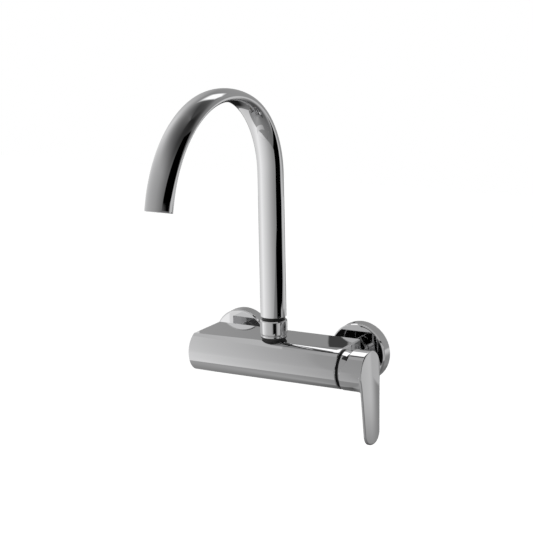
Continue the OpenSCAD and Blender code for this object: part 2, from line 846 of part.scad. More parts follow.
mixer_body();
inlet_nipple(-1);  // inlet_nipple_left
inlet_nipple(1);  // inlet_nipple_right
seal_washer(-1);  // seal_washer_left
seal_washer(1);  // seal_washer_right
union_nut(-1);  // union_nut_left
union_nut(1);  // union_nut_right
s_union(-1);  // s_union_left
s_union(1);  // s_union_right
escutcheon(-1);  // escutcheon_left
escutcheon(1);  // escutcheon_right
spout_socket();
socket_gasket();
collar_nut();
cartridge_base();
port_seals();
cartridge_o_ring();
fixed_disc();
cartridge_housing();
retaining_nut();
gap_ring();
dome_cap();
spout_tube();
spout_stem();
spout_o_rings();
slide_ring();
bearing_ring();
outlet_insert();
aerator_housing();
flow_disc();
aerator_seal();
rotor();
stem_pin();
lever_handle();
stem();
grub_screw();
screw_plug();
moving_disc();
disc_driver();
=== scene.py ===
"""Looks of a wall-mounted single-lever sink mixer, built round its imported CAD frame."""

import json
import math

import bmesh
import bpy
import numpy as np
from mathutils import Matrix, Vector

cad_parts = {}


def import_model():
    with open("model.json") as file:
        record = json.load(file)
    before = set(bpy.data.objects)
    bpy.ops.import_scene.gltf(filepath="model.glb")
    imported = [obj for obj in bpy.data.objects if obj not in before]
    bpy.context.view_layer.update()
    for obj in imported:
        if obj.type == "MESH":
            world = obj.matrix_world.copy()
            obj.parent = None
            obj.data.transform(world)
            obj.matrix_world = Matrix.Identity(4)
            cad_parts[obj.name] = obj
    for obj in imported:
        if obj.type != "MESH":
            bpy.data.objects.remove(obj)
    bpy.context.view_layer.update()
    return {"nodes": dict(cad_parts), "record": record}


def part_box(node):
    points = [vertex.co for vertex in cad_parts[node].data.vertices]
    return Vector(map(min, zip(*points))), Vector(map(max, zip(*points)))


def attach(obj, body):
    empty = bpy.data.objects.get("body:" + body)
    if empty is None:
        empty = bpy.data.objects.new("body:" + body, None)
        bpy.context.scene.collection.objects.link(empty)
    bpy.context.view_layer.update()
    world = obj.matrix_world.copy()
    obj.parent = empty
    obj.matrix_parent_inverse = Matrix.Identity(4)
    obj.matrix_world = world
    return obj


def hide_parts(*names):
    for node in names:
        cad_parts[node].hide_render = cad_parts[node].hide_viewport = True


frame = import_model()

# ---- Sizes, in millimetres ----

MM = 0.001  # the script works in millimetres, Blender in metres
TAU = 2 * math.pi


def span(node):
    """Lowest and highest corner of a CAD node, in millimetres."""
    lo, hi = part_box(node)
    return np.array(lo) / MM, np.array(hi) / MM


BAR_LO, BAR_HI = span("mixer_body")
DISC_LO, DISC_HI = span("fixed_disc")
AXIS_Y, AXIS_Z = (DISC_LO[1] + DISC_HI[1]) / 2, (DISC_LO[2] + DISC_HI[2]) / 2
CARTRIDGE_AXIS = np.array([0, AXIS_Y, AXIS_Z])
END_X, BACK_Y, TOP_Z = BAR_HI

# Bar
FRONT_RADII = ((23.3, 23.3, 23.3), (23.0, 23.55, 22.8))  # round front at each end: out, up, down
FRONT_SWELL, FRONT_LIFT = 6.0, 2.6  # how far it moves out and up towards the closed end
BAR_UNDER = 20.0  # depth of the flat underside below the axis
TOP_EDGE_R = 1.0  # fillet between the flat top and the round front
BACK_TOP_R, BACK_LOW_R = 0.4, 5.0
END_R = 1.2  # rounding of the end faces
BESIDE = 0.3  # from the end of a fillet to the first point of a flat
CARTRIDGE_BORE_R, CARTRIDGE_BORE_DEPTH = 17.6, 32.0
CLAMP_BORE_R, CLAMP_BORE_DEPTH = 19.05, 6.0
SOCKET_BORE_R, SOCKET_BORE_DEPTH = 12.05, 13.0
NIPPLE_BORE_R, NIPPLE_BORE_DEPTH = 10.05, 14.0
CUT_PAST = 4.0  # how far a cutter stands out of the surface

# Spout
TUBE_R, TUBE_WALL = 14.3, 1.3
BEND_Z = AXIS_Z + 207.9  # where the bend starts
BENDS = ((97.3, 68.5), (119.0, 77.0), (122.0, 20.0))  # radius and angle of each arc
BEND_SOFT = 14.0  # length over which one curvature turns into the next
PATH_FROM, PATH_PAST, PATH_STEP = -60.0, 10.0, 0.25  # where its sums start, stop, and their step
RISER_TO = -50.0  # up to here it is plainly straight
TIP_STRAIGHT = 10.0
CROWN_HALF = (15.2, 7.2)  # half width and half thickness of the flattened tube
TIP_HALF = (16.2, 8.4)
OVAL_LEAD, OVAL_RUN = 8.0, 118.0  # where it starts to flatten and where it is flat
LIP_R, FOOT_CHAMFER = 0.6, 0.25

# Lever
HUB_R, HUB_IN_R = 23.2, 21.7
PIVOT_X = END_X + 0.5
FACE_X = END_X + 33.0
BLADE_T, BLADE_LEN = 3.6, 81.3
BLADE_HALF_W, TIP_ROUND, TIP_POWER = 16.9, 14.6, 2.2
SIDE_POWER, SIDE_MELD = 0.8, 30  # taper of the sides, and how tightly they leave the hub
LEAN, LEAN_Z = math.radians(1.4), 15.0
COVE_R, COVE_LEN = 7.0, 10.0  # cove from hub to blade, outwards and along the hub
COVE_SHARE, COVE_RUN = 0.7, 3.0  # how it fades where the blade stands out less
FACE_EDGE_R, BACK_EDGE_R, REAR_R = 0.9, 0.8, 0.5
FACE_CROWN = 260.0  # radius of the slight crown across the face
SPINE_SHARE, SPINE_LOW, SPINE_HIGH = 0.8, -62.0, 8.0  # the face's rings close on to this line
REAR_LOW_X, REAR_TOP_X = END_X + 2.4, END_X + 8.56
REAR_RELIEF = 4.6  # how much further its upper part is cut back
RELIEF_FROM, RELIEF_RUN = 0.2, 0.5  # where that starts, as a share of the radius, and how it grows
CEILING_X = END_X + 19.9
STEM_HOLE = 4.05  # half width of the square hole for the stem
SCREW_HOLE_R, PLUG_HOLE_R = 2.55, 3.05

# Dome and black rings
DOME_R, DOME_WALL, DOME_OPEN_R, DOME_FOOT = 21.3, 1.2, 15.0, 2.0
NECK_HOLE_R = 18.45
GASKET_FOOT_R, GASKET_SUNK = 12.6, 0.8
SEAT_SLACK = 0.05  # room round the gasket in its seat
BEARING_IN_R = 10.3

# Socket and collar nut
SOCKET_IN_R, SOCKET_FOOT_R, SOCKET_NECK_R = 9.1, 12.0, 13.2
FLANGE_LOW, FLANGE_HIGH = 3.3, 5.7  # the flange's faces, over the bar's top
COLLAR_THREAD_R, COLLAR_LIP_R, COLLAR_LIP_T = 13.25, 10.6, 2.0

# Inlets
INLET_X, NUT_OVER_AXIS = 75.0, 2.0
ESC_R, ESC_DEPTH, ESC_WALL, ESC_BEVEL = 34.0, 14.5, 1.2, 1.6
ESC_DRAFT, ESC_GRIP, ESC_GRIP_WALL = 0.2, 5.5, 2.0
UNION_THREAD_R = 13.25
NUT_ENDS = np.array([0, 0.25, 0.6, 1.0, 1.5, 2.1])  # rings of a nut, measured from each end
NUT_CORNERS = 1.135  # where its corners are turned off, as a share of its flats
NUT_CHAMFER, NUT_SLOPE = 0.4, 1.75
NUT_LIP_R, NUT_LIP_T, NUT_MOUTH_R = 10.35, 2.2, 13.4
WALL_THREAD_R, THREAD_PITCH, THREAD_DEPTH = 10.48, 1.814, 1.16
THREAD_START, THREAD_STEP = 1.5, 0.2
UNION_RIM_R, UNION_RIM_T, BAR_THREAD_R = 16.0, 6.0, 13.2
WALL_TIP_R, WALL_NECK_R, WALL_BORE_R, BAR_BORE_R = 9.3, 10.0, 7.0, 8.5

SHARP = 32  # an edge is sharp from this many degrees
MERGE_DOUBLES, MERGE_SLIVERS = 2e-6, 1e-7  # metres


# ---- Mesh makers ----

def finish_mesh(name, verts, quads, body, node=None, material=None, sharp=None):
    """One piece from arrays of corners and quads: doubles merged, normals outward, shaded smooth."""
    mesh = bpy.data.meshes.new(name)
    mesh.from_pydata((np.asarray(verts).reshape(-1, 3) * MM).tolist(), [], quads.tolist())
    bm = bmesh.new()
    bm.from_mesh(mesh)
    bmesh.ops.remove_doubles(bm, verts=bm.verts, dist=MERGE_DOUBLES)
    bmesh.ops.dissolve_degenerate(bm, dist=MERGE_SLIVERS, edges=bm.edges)
    bmesh.ops.recalc_face_normals(bm, faces=bm.faces)
    bm.to_mesh(mesh)
    bm.free()
    mesh.shade_smooth()
    if sharp:
        mesh.set_sharp_from_angle(angle=math.radians(sharp))
    piece = bpy.data.objects.new(name, mesh)
    bpy.context.scene.collection.objects.link(piece)
    if material:
        mesh.materials.append(material)
    if body:
        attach(piece, body)
    if node:
        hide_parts(*([node] if isinstance(node, str) else node))
    return piece


def grid_quads(rows, cols, wrap_rows, wrap_cols):
    """Corner numbers of the quads between neighbouring points of a rows by cols grid."""
    idx = np.arange(rows * cols).reshape(rows, cols)
    if wrap_cols:
        idx = np.concatenate([idx, idx[:, :1]], 1)
    if wrap_rows:
        idx = np.concatenate([idx, idx[:1]], 0)
    return np.stack([idx[:-1, :-1], idx[:-1, 1:], idx[1:, 1:], idx[1:, :-1]], -1).reshape(-1, 4)


def rounded(corners, steps=6, pad=0.12):
    """Closed profile through (x, y, fillet) corners. Each fillet is an arc of its radius, with a
    support point just outside each end of the arc, so that the flats beside it shade flat."""
    c = np.array(corners, float)
    xy, r = c[:, :2], c[:, 2]
    before, after = np.roll(xy, 1, 0) - xy, np.roll(xy, -1, 0) - xy
    len_b, len_a = np.linalg.norm(before, axis=1), np.linalg.norm(after, axis=1)
    a, b = before / len_b[:, None], after / len_a[:, None]
    half = np.arccos(np.clip((a * b).sum(1), -1, 1)) / 2
    reach = np.minimum(r / np.tan(half), 0.42 * np.minimum(len_b, len_a))
    r = reach * np.tan(half)
    mid = (a + b) / np.maximum(np.linalg.norm(a + b, axis=1), 1e-9)[:, None]
    centre = xy + mid * (r / np.sin(half))[:, None]
    s, e = xy + a * reach[:, None] - centre, xy + b * reach[:, None] - centre
    turn = np.maximum(math.pi - 2 * half, 1e-6)[:, None, None]
    u = np.linspace(0, 1, steps + 1)[None, :, None]
    swept = np.sin((1 - u) * turn) * s[:, None] + np.sin(u * turn) * e[:, None]
    arcs = centre[:, None] + swept / np.sin(turn)
    out = np.minimum(pad, 0.1 * np.minimum(len_b, len_a))[:, None]
    first, last = arcs[:, :1] + (a * out)[:, None], arcs[:, -1:] + (b * out)[:, None]
    return np.concatenate([first, arcs, last], 1).reshape(-1, 2)


def turned(name, profile, origin, axis, body, node, material, sides=128, shift=None, radius=None,
           sharp=None, closed=True):
    """Surface of revolution: each (radius, height) of the profile is carried round the axis.
    shift moves each ring's centre sideways; radius(angle, r, h) may change a ring's radius."""
    axis = np.array(axis, float) / np.linalg.norm(axis)
    u = np.cross(axis, [0, 0, 1.0]) if abs(axis[2]) < 0.9 else np.array([1.0, 0, 0])
    u /= np.linalg.norm(u)
    v = np.cross(axis, u)
    angle = np.linspace(0, TAU, sides, endpoint=False)
    r, h = profile[:, :1], profile[:, 1:2]
    rr = radius(angle[None], r, h) if radius else r + 0 * angle[None]
    ring = rr[..., None] * (np.cos(angle)[None, :, None] * u + np.sin(angle)[None, :, None] * v)
    grid = np.array(origin, float) + h[..., None] * axis + ring
    if shift is not None:
        grid = grid + shift[:, None, :]
    quads = grid_quads(len(profile), sides, closed, True)
    return finish_mesh(name, grid, quads, body, node, material, sharp)


def cut(piece, *cutters):
    """Takes the cutters' shapes out of a piece and removes them."""
    for cutter in cutters:
        mod = piece.modifiers.new("cut", "BOOLEAN")
        mod.operation, mod.solver, mod.object = "DIFFERENCE", "EXACT", cutter
        bpy.context.view_layer.update()
        done = bpy.data.meshes.new_from_object(piece.evaluated_get(bpy.context.evaluated_depsgraph_get()))
        piece.modifiers.remove(mod)
        old, piece.data = piece.data, done
        bpy.data.meshes.remove(old)
        bpy.data.objects.remove(cutter)
    piece.data.set_sharp_from_angle(angle=math.radians(SHARP))
    return piece


def rod(r, start, axis, length, sides=96):
    """A plain round cutter."""
    profile = np.array([[0, 0], [r, 0], [r, length], [0, length]], float)
    return turned("cutter", profile, start, axis, None, None, None, sides, closed=False)


def bore(r, mouth, axis, depth):
    """A round cutter that sinks a hole to a depth below its mouth, against the axis."""
    start = np.array(mouth, float) - depth * np.array(axis)
    return rod(r, start, axis, depth + CUT_PAST)


def block(lo, hi):
    """A plain square cutter."""
    points = [[x, y, z] for x in (lo[0], hi[0]) for y in (lo[1], hi[1]) for z in (lo[2], hi[2])]
    faces = [[0, 1, 3, 2], [4, 6, 7, 5], [0, 4, 5, 1], [2, 3, 7, 6], [0, 2, 6, 4], [1, 5, 7, 3]]
    return finish_mesh("cutter", points, np.array(faces), None)


# ---- Materials ----

def principled(name, color, metallic=0.0, roughness=0.5, specular=0.5):
    """A material with its Principled shader, and the shader's own plain values set."""
    mat = bpy.data.materials.new(name)
    mat.use_nodes = True
    shader = mat.node_tree.nodes["Principled BSDF"]
    shader.inputs["Base Color"].default_value = (*color, 1)
    shader.inputs["Metallic"].default_value = metallic
    shader.inputs["Roughness"].default_value = roughness
    shader.inputs["Specular IOR Level"].default_value = specular
    return mat, shader


def noise(mat, scale, detail):
    """Noise over the piece's own coordinates, in cycles a metre."""
    nodes, links = mat.node_tree.nodes, mat.node_tree.links
    coord, texture = nodes.new("ShaderNodeTexCoord"), nodes.new("ShaderNodeTexNoise")
    texture.inputs["Scale"].default_value = scale
    texture.inputs["Detail"].default_value = detail
    links.new(coord.outputs["Object"], texture.inputs["Vector"])
    return texture.outputs["Fac"]


def between(mat, fac, low, high):
    """Maps 0..1 noise to a range."""
    node = mat.node_tree.nodes.new("ShaderNodeMapRange")
    node.inputs["To Min"].default_value, node.inputs["To Max"].default_value = low, high
    mat.node_tree.links.new(fac, node.inputs["Value"])
    return node.outputs["Result"]


def tones(mat, fac, dark, light):
    """Mixes two colours by 0..1 noise."""
    node = mat.node_tree.nodes.new("ShaderNodeMix")
    node.data_type = "RGBA"
    node.inputs["A"].default_value, node.inputs["B"].default_value = (*dark, 1), (*light, 1)
    mat.node_tree.links.new(fac, node.inputs["Factor"])
    return node.outputs["Result"]


def bump(mat, shader, height, strength, distance):
    """Bumps the shader's normal by a height."""
    node = mat.node_tree.nodes.new("ShaderNodeBump")
    node.inputs["Strength"].default_value = strength
    node.inputs["Distance"].default_value = distance
    mat.node_tree.links.new(height, node.inputs["Height"])
    mat.node_tree.links.new(node.outputs["Normal"], shader.inputs["Normal"])


def link(mat, source, shader, socket):
    """Feeds a shader's socket."""
    mat.node_tree.links.new(source, shader.inputs[socket])


CHROME_TINT = (0.55, 0.55, 0.555)


def chrome(name, wave=0.0, haze=(0.02, 0.05)):
    """Polished chrome plate: a faint haze that varies, and on castings a faint long wave."""
    mat, shader = principled(name, CHROME_TINT, metallic=1.0)
    link(mat, between(mat, noise(mat, 60, 4), *haze), shader, "Roughness")
    if wave:
        bump(mat, shader, noise(mat, 14, 1), wave, 0.0004)
    return mat


def plain(name, dark, light, rough, metallic=0.0, grain=300, depth=0.00005, specular=0.5):
    """A moulded or turned finish: two close tones, a rough range and a fine grain."""
    mat, shader = principled(name, light, metallic=metallic, specular=specular)
    link(mat, tones(mat, noise(mat, 80, 4), dark, light), shader, "Base Color")
    link(mat, between(mat, noise(mat, grain, 3), *rough), shader, "Roughness")
    bump(mat, shader, noise(mat, grain * 3, 2), 0.3, depth)
    return mat


CHROME_BODY = chrome("chrome_body", wave=0.03)
CHROME_TRIM = chrome("chrome_trim")
CHROME_SPOUT = chrome("chrome_spout")
CHROME_LEVER = chrome("chrome_lever", wave=0.03)
BRASS = plain("bare_brass", (0.56, 0.39, 0.14), (0.66, 0.49, 0.20), (0.18, 0.32), metallic=1.0)
RUBBER = plain("black_rubber", (0.012, 0.012, 0.012), (0.022, 0.022, 0.022), (0.55, 0.75))
BLACK_PLASTIC = plain("black_plastic", (0.003, 0.003, 0.003), (0.006, 0.006, 0.006), (0.30, 0.42),
                      specular=0.25)
GREY_PLASTIC = plain("grey_plastic", (0.17, 0.175, 0.18), (0.22, 0.225, 0.23), (0.35, 0.5))
WHITE_PLASTIC = plain("white_plastic", (0.70, 0.70, 0.67), (0.80, 0.80, 0.77), (0.35, 0.5))
AERATOR_PLASTIC = plain("aerator_plastic", (0.33, 0.34, 0.35), (0.40, 0.41, 0.42), (0.2, 0.3))
CERAMIC = plain("disc_ceramic", (0.80, 0.79, 0.75), (0.87, 0.86, 0.83), (0.12, 0.2), depth=0.00001)
STEEL = plain("plain_steel", (0.45, 0.46, 0.47), (0.58, 0.59, 0.60), (0.2, 0.32), metallic=1.0)
SLOT_LOOKS = {
    "chrome_body": CHROME_BODY, "chrome_trim": CHROME_TRIM, "chrome_spout": CHROME_SPOUT,
    "chrome_lever": CHROME_LEVER, "bare_brass": BRASS, "black_rubber": RUBBER,
    "black_plastic": BLACK_PLASTIC, "grey_plastic": GREY_PLASTIC, "white_plastic": WHITE_PLASTIC,
    "aerator_plastic": AERATOR_PLASTIC, "disc_ceramic": CERAMIC, "plain_steel": STEEL,
}


def dress_cad_nodes():
    """Every CAD node takes the material of its slot."""
    for part in frame["record"]["subparts"]:
        node = frame["nodes"][part["node"]]
        node.data.materials.clear()
        node.data.materials.append(SLOT_LOOKS[part["material_slot"]])


# ---- Bar ----

def arc(cy, cz, r, a0, a1, n):
    """Points of an arc in the section plane, as (stations, n, 2) arrays."""
    a = a0[:, None] + (a1 - a0)[:, None] * np.linspace(0, 1, n)[None]
    return np.stack([cy[:, None] + r[:, None] * np.cos(a), cz[:, None] + r[:, None] * np.sin(a)], -1)


def bar_sections(x, inset):
    """Outline of the bar at each x, drawn inwards by inset: fillet, flat top, fillet, round front,
    flat underside, fillet, flat back. The front is round about its own middle, with one radius above
    it and one below, and its depth is then scaled. Angles are measured from +Y towards +Z."""
    t = (x - BAR_LO[0]) / (END_X - BAR_LO[0])
    zero = 0 * t
    out, up, down = [left + (right - left) * t - inset for left, right in zip(*FRONT_RADII)]
    cy, cz = AXIS_Y - FRONT_SWELL * (1 - t), AXIS_Z + FRONT_LIFT * (1 - t)
    top, low, back = TOP_Z - inset, AXIS_Z - BAR_UNDER + inset, BACK_Y - inset
    edge = np.maximum(TOP_EDGE_R - inset, 0.05)
    back_top, back_low = np.maximum(BACK_TOP_R - inset, 0.05), BACK_LOW_R - inset
    edge_y, edge_z = -np.sqrt((up - edge) ** 2 - (top - cz - edge) ** 2), top - cz - edge
    to_top = np.arctan2(edge_z, edge_y)
    to_low = TAU * 3 / 4 + np.arccos((cz - low) / down)
    above = np.concatenate([arc(edge_y, edge_z, edge, zero + TAU / 4, to_top, 8),
                            arc(zero, zero, up, to_top, zero + TAU / 2, 36)], 1)
    below = arc(zero, zero, down, zero + TAU / 2, to_low, 48)[:, 1:]
    above[..., 0] *= (out / up)[:, None]
    below[..., 0] *= (out / down)[:, None]
    front = np.concatenate([above, below], 1) + np.stack([cy, cz], -1)[:, None]

    def flat(y0, y1, z0, z1, n):
        return np.stack([np.linspace(y0, y1, n).T, np.linspace(z0, z1, n).T], -1)

    parts = [
        arc(back - back_top, top - back_top, back_top, zero, zero + TAU / 4, 9),
        flat(back - back_top - BESIDE, front[:, 0, 0] + BESIDE, top, top, 12),
        front,
        flat(front[:, -1, 0] + BESIDE, back - back_low - BESIDE, low, low, 8),
        arc(back - back_low, low + back_low, back_low, zero + TAU * 3 / 4, zero + TAU, 12),
        flat(back, back, low + back_low + BESIDE, top - back_top - BESIDE, 8),
    ]
    yz = np.concatenate(parts, 1)
    return np.concatenate([np.repeat(x[:, None, None], yz.shape[1], 1), yz], -1)


def bar():
    """The bar's outline carried from end to end, with rounded end faces closed to a point."""
    a = np.linspace(0, TAU / 4, 8)
    x0, x1 = BAR_LO[0], END_X
    along, inward = END_R * (1 - np.cos(a)), END_R * (1 - np.sin(a))
    straight = np.concatenate([[x0 + END_R + 0.2], np.linspace(x0 + 8, x1 - 8, 40), [x1 - END_R - 0.2]])
    x = np.concatenate([x0 + along, straight, x1 - along[::-1]])
    inset = np.concatenate([inward, 0 * straight, inward[::-1]])
    rings = bar_sections(x, inset)
    middle = np.array([0, AXIS_Y + 8, AXIS_Z])

    def cap(ring, shares):
        centre = middle + [ring[0, 0], 0, 0]
        return [centre + (ring - centre) * s for s in shares]

    closing = (0.985, 0.85, 0.5, 0.2, 0.0)
    grid = np.stack(cap(rings[0], closing[::-1]) + list(rings) + cap(rings[-1], closing))
    quads = grid_quads(*grid.shape[:2], False, True)
    piece = finish_mesh("bar_casting", grid, quads, "body", "mixer_body", CHROME_BODY)
    end, top = (END_X, AXIS_Y, AXIS_Z), (0, AXIS_Y, TOP_Z)
    cutters = [bore(CARTRIDGE_BORE_R, end, (1, 0, 0), CARTRIDGE_BORE_DEPTH),
               bore(CLAMP_BORE_R, end, (1, 0, 0), CLAMP_BORE_DEPTH),
               bore(SOCKET_BORE_R, top, (0, 0, 1), SOCKET_BORE_DEPTH),
               bore(GASKET_FOOT_R + SEAT_SLACK, top, (0, 0, 1), GASKET_SUNK + SEAT_SLACK)]
    for side in ("left", "right"):
        lo, hi = span("union_nut_" + side)
        inlet = ((lo[0] + hi[0]) / 2, BACK_Y, (lo[2] + hi[2]) / 2)
        cutters.append(bore(NIPPLE_BORE_R, inlet, (0, 1, 0), NIPPLE_BORE_DEPTH))
    return cut(piece, *cutters)


# ---- Spout ----

def blend(t):
    """Smooth step from 0 to 1: three times the square of t less twice its cube."""
    t = np.clip(t, 0, 1)
    return t * t * (3 - 2 * t)


def spout_path(s):
    """Place and heading at each distance s past the start of the bends: the curvature of the arcs,
    evened out over a short length, is summed twice along the tube."""
    lengths = [r * math.radians(a) for r, a in BENDS]
    whole = sum(lengths) + TIP_STRAIGHT
    fine = np.arange(PATH_FROM, whole + PATH_PAST, PATH_STEP)
    ends = np.cumsum([0] + lengths)
    bend = sum(((fine >= ends[i]) & (fine < ends[i + 1])) / BENDS[i][0] for i in range(len(BENDS)))
    window = np.hanning(int(BEND_SOFT / PATH_STEP) | 1)
    bend = np.convolve(bend, window / window.sum(), "same")
    turn = np.cumsum(bend) * PATH_STEP
    y = AXIS_Y - np.cumsum(np.sin(turn)) * PATH_STEP
    z = BEND_Z + fine[0] + np.cumsum(np.cos(turn)) * PATH_STEP
    y, z, turn = [np.interp(s, fine, values) for values in (y, z, turn)]
    riser = s < RISER_TO
    return np.where(riser, AXIS_Y, y), np.where(riser, BEND_Z + s, z), np.where(riser, 0, turn), whole


def spout_half(s, length):
    """Half width and half thickness of the tube: round, then flattened, then a little fuller."""
    first = blend((s + OVAL_LEAD) / (OVAL_RUN + OVAL_LEAD))
    second = blend((s - OVAL_RUN) / (length - OVAL_RUN))
    return [TUBE_R + (crown - TUBE_R) * first + (tip - crown) * second
            for crown, tip in zip(CROWN_HALF, TIP_HALF)]


def spout():
    """The tube's oval section carried along its path, outside up to the tip and back inside. Its
    rings stand close together on the bends and further apart on the riser and inside."""
    length = spout_path(np.zeros(1))[3]
    start, lip = span("spout_tube")[0][2] - BEND_Z, length - LIP_R
    out = np.concatenate([[start + FOOT_CHAMFER, start + 0.4], np.linspace(start + 2, -10, 24),
                          np.linspace(-8, length - 2, 260), [lip]])
    back = np.concatenate([[length - 2], np.linspace(length - 4, -10, 90), np.linspace(-20, start + 2, 8)])
    a = np.linspace(0, TAU / 4, 6)[1:]
    past, less = LIP_R * np.sin(a), LIP_R * (1 - np.cos(a))
    s = np.concatenate([[start, start], out, lip + past, lip + past[::-1], back])
    inset = np.concatenate([[TUBE_WALL / 2, FOOT_CHAMFER], 0 * out, less, TUBE_WALL - less[::-1],
                            0 * back + TUBE_WALL])
    y, z, turn, _ = spout_path(s)
    w, t = spout_half(s, length)
    angle = np.linspace(0, TAU, 96, endpoint=False)[None]
    p, q = (w - inset)[:, None] * np.cos(angle), (t - inset)[:, None] * np.sin(angle)
    y, z, turn = y[:, None], z[:, None], turn[:, None]
    grid = np.stack([p, y + q * np.cos(turn), z + q * np.sin(turn)], -1)
    quads = grid_quads(*grid.shape[:2], True, True)
    piece = finish_mesh("spout_pipe", grid, quads, "spout", "spout_tube", CHROME_SPOUT)
    return piece


# ---- Lever ----

def lever_outline(n=320):
    """Outline of the lever seen along its axis, in even steps: hub circle, tapering sides and a
    superellipse tip. Returns points and outward normals, as (across, up)."""
    straight = BLADE_LEN - TIP_ROUND
    up = np.linspace(TAU / 4, 0, 600)
    depth = straight * np.linspace(0, 1, 1200)[1:] ** 1.5
    circle = np.sqrt(np.maximum(HUB_R ** 2 - depth ** 2, 0))
    side = HUB_R + (BLADE_HALF_W - HUB_R) * (depth / straight) ** SIDE_POWER
    side = np.minimum((circle ** SIDE_MELD + side ** SIDE_MELD) ** (1 / SIDE_MELD), HUB_R)
    tip = np.linspace(0, TAU / 4, 800)[1:]
    across, down = np.cos(tip) ** (2 / TIP_POWER), np.sin(tip) ** (2 / TIP_POWER)
    half = np.concatenate([
        np.stack([HUB_R * np.cos(up), HUB_R * np.sin(up)], 1),
        np.stack([side, -depth], 1),
        np.stack([BLADE_HALF_W * across, -straight - TIP_ROUND * down], 1)])
    whole = np.concatenate([half, (half * [-1, 1])[::-1][1:]])
    run = np.concatenate([[0], np.cumsum(np.linalg.norm(np.diff(whole, axis=0), axis=1))])
    at = np.linspace(0, run[-1], n, endpoint=False)
    points = np.stack([np.interp(at, run, whole[:, i]) for i in (0, 1)], 1)
    along = np.roll(points, -1, 0) - np.roll(points, 1, 0)
    normal = np.stack([-along[:, 1], along[:, 0]], 1)
    normal /= np.linalg.norm(normal, axis=1)[:, None]
    return points, normal * np.sign((normal * points).sum(1).mean())


def lean_x(up):
    """X of the plane that the blade's face leans in, at a height over the axis."""
    return FACE_X - math.tan(LEAN) * (up + LEAN_Z)


def face_height(p):
    """X of the lever's outer face: the plane, less the square of the distance across over twice the
    crown's radius."""
    return lean_x(p[..., 1]) - p[..., 0] ** 2 / (2 * FACE_CROWN)


def lever_rings():
    """Rings from the middle of the outer face over its edge, down the side, round the blade's back,
    up the cove to the hub, along the hub to its slanting rear edge, and back inside to the ceiling."""
    p, n = lever_outline()
    far = np.linalg.norm(p, axis=1)
    toward = p / far[:, None]
    room = np.maximum(far - HUB_R, 0)
    cove = np.minimum(COVE_R, COVE_SHARE * room)
    cove_len = COVE_LEN * blend(room / COVE_RUN)
    back_r = np.minimum(BACK_EDGE_R, 0.25 * room)
    spine = np.stack([0 * far, np.clip(p[:, 1] * SPINE_SHARE, SPINE_LOW, SPINE_HIGH)], 1)
    quarter = np.linspace(0, TAU / 4, 6)
    rings = []

    def ring(flat, x):
        rings.append(np.stack([x + 0 * far, flat[:, 0] + AXIS_Y, flat[:, 1] + AXIS_Z], 1))

    inner = p - n * FACE_EDGE_R
    for share in np.linspace(0, 1, 14):
        flat = spine + (inner - spine) * share
        ring(flat, face_height(flat))
    edge_x = face_height(inner)
    for a in np.linspace(0, TAU / 4, 8)[1:]:
        ring(p - n * (FACE_EDGE_R * (1 - math.sin(a))), edge_x - FACE_EDGE_R * (1 - math.cos(a)))
    back_x = lean_x(p[:, 1]) - BLADE_T
    ring(p, edge_x - FACE_EDGE_R - 0.15)
    ring(p, back_x + back_r + 0.1)
    for a in quarter:
        ring(p - n * (back_r * (1 - math.cos(a)))[:, None], back_x + back_r * (1 - math.sin(a)))
    start = p - n * back_r[:, None]
    foot = toward * (HUB_R + cove)[:, None]
    foot_x = lean_x(foot[:, 1]) - BLADE_T
    for share in (0.04, 0.3, 0.6, 0.96, 1.0):
        ring(start + (foot - start) * share, back_x + (foot_x - back_x) * share)
    for a in np.linspace(0, TAU / 4, 10)[1:]:
        ring(toward * (HUB_R + cove * (1 - math.sin(a)))[:, None], foot_x - cove_len * (1 - math.cos(a)))
    hub_x = foot_x - cove_len
    rear_x = REAR_LOW_X + (REAR_TOP_X - REAR_LOW_X) * (toward[:, 1] + 1) / 2
    rear_x = rear_x + REAR_RELIEF * blend((toward[:, 1] - RELIEF_FROM) / RELIEF_RUN)
    for share in (0.03, 0.5, 0.97):
        ring(toward * HUB_R, hub_x + (rear_x + REAR_R - hub_x) * share)
    for a in quarter:
        ring(toward * (HUB_R - REAR_R * (1 - math.cos(a))), rear_x + REAR_R * (1 - math.sin(a)))
    for a in quarter:
        ring(toward * (HUB_IN_R + REAR_R * (1 - math.sin(a))), rear_x + REAR_R * (1 - math.cos(a)))
    ring(toward * HUB_IN_R, CEILING_X - 0.5)
    for share in (1.0, 0.97, 0.5, 0.0):
        ring(toward * HUB_IN_R * share, CEILING_X + 0 * far)
    return np.stack(rings)


def lever():
    """Hub and blade in one skin, with the holes for the stem, the set screw and its cover."""
    grid = lever_rings()
    quads = grid_quads(*grid.shape[:2], False, True)
    piece = finish_mesh("lever_casting", grid, quads, "lever", "lever_handle", CHROME_LEVER)
    stem_end = span("stem")[1][0] + BESIDE
    screw_lo, screw_hi = span("grub_screw")
    x, plug_y = (screw_lo[0] + screw_hi[0]) / 2, span("screw_plug")[0][1]
    return cut(piece,
               block((CEILING_X - 1, AXIS_Y - STEM_HOLE, AXIS_Z - STEM_HOLE),
                     (stem_end, AXIS_Y + STEM_HOLE, AXIS_Z + STEM_HOLE)),
               rod(SCREW_HOLE_R, (x, AXIS_Y, AXIS_Z), (0, 1, 0), HUB_R + 2, 48),
               rod(PLUG_HOLE_R, (x, plug_y, AXIS_Z), (0, 1, 0), 8, 48))


# ---- Turned pieces ----

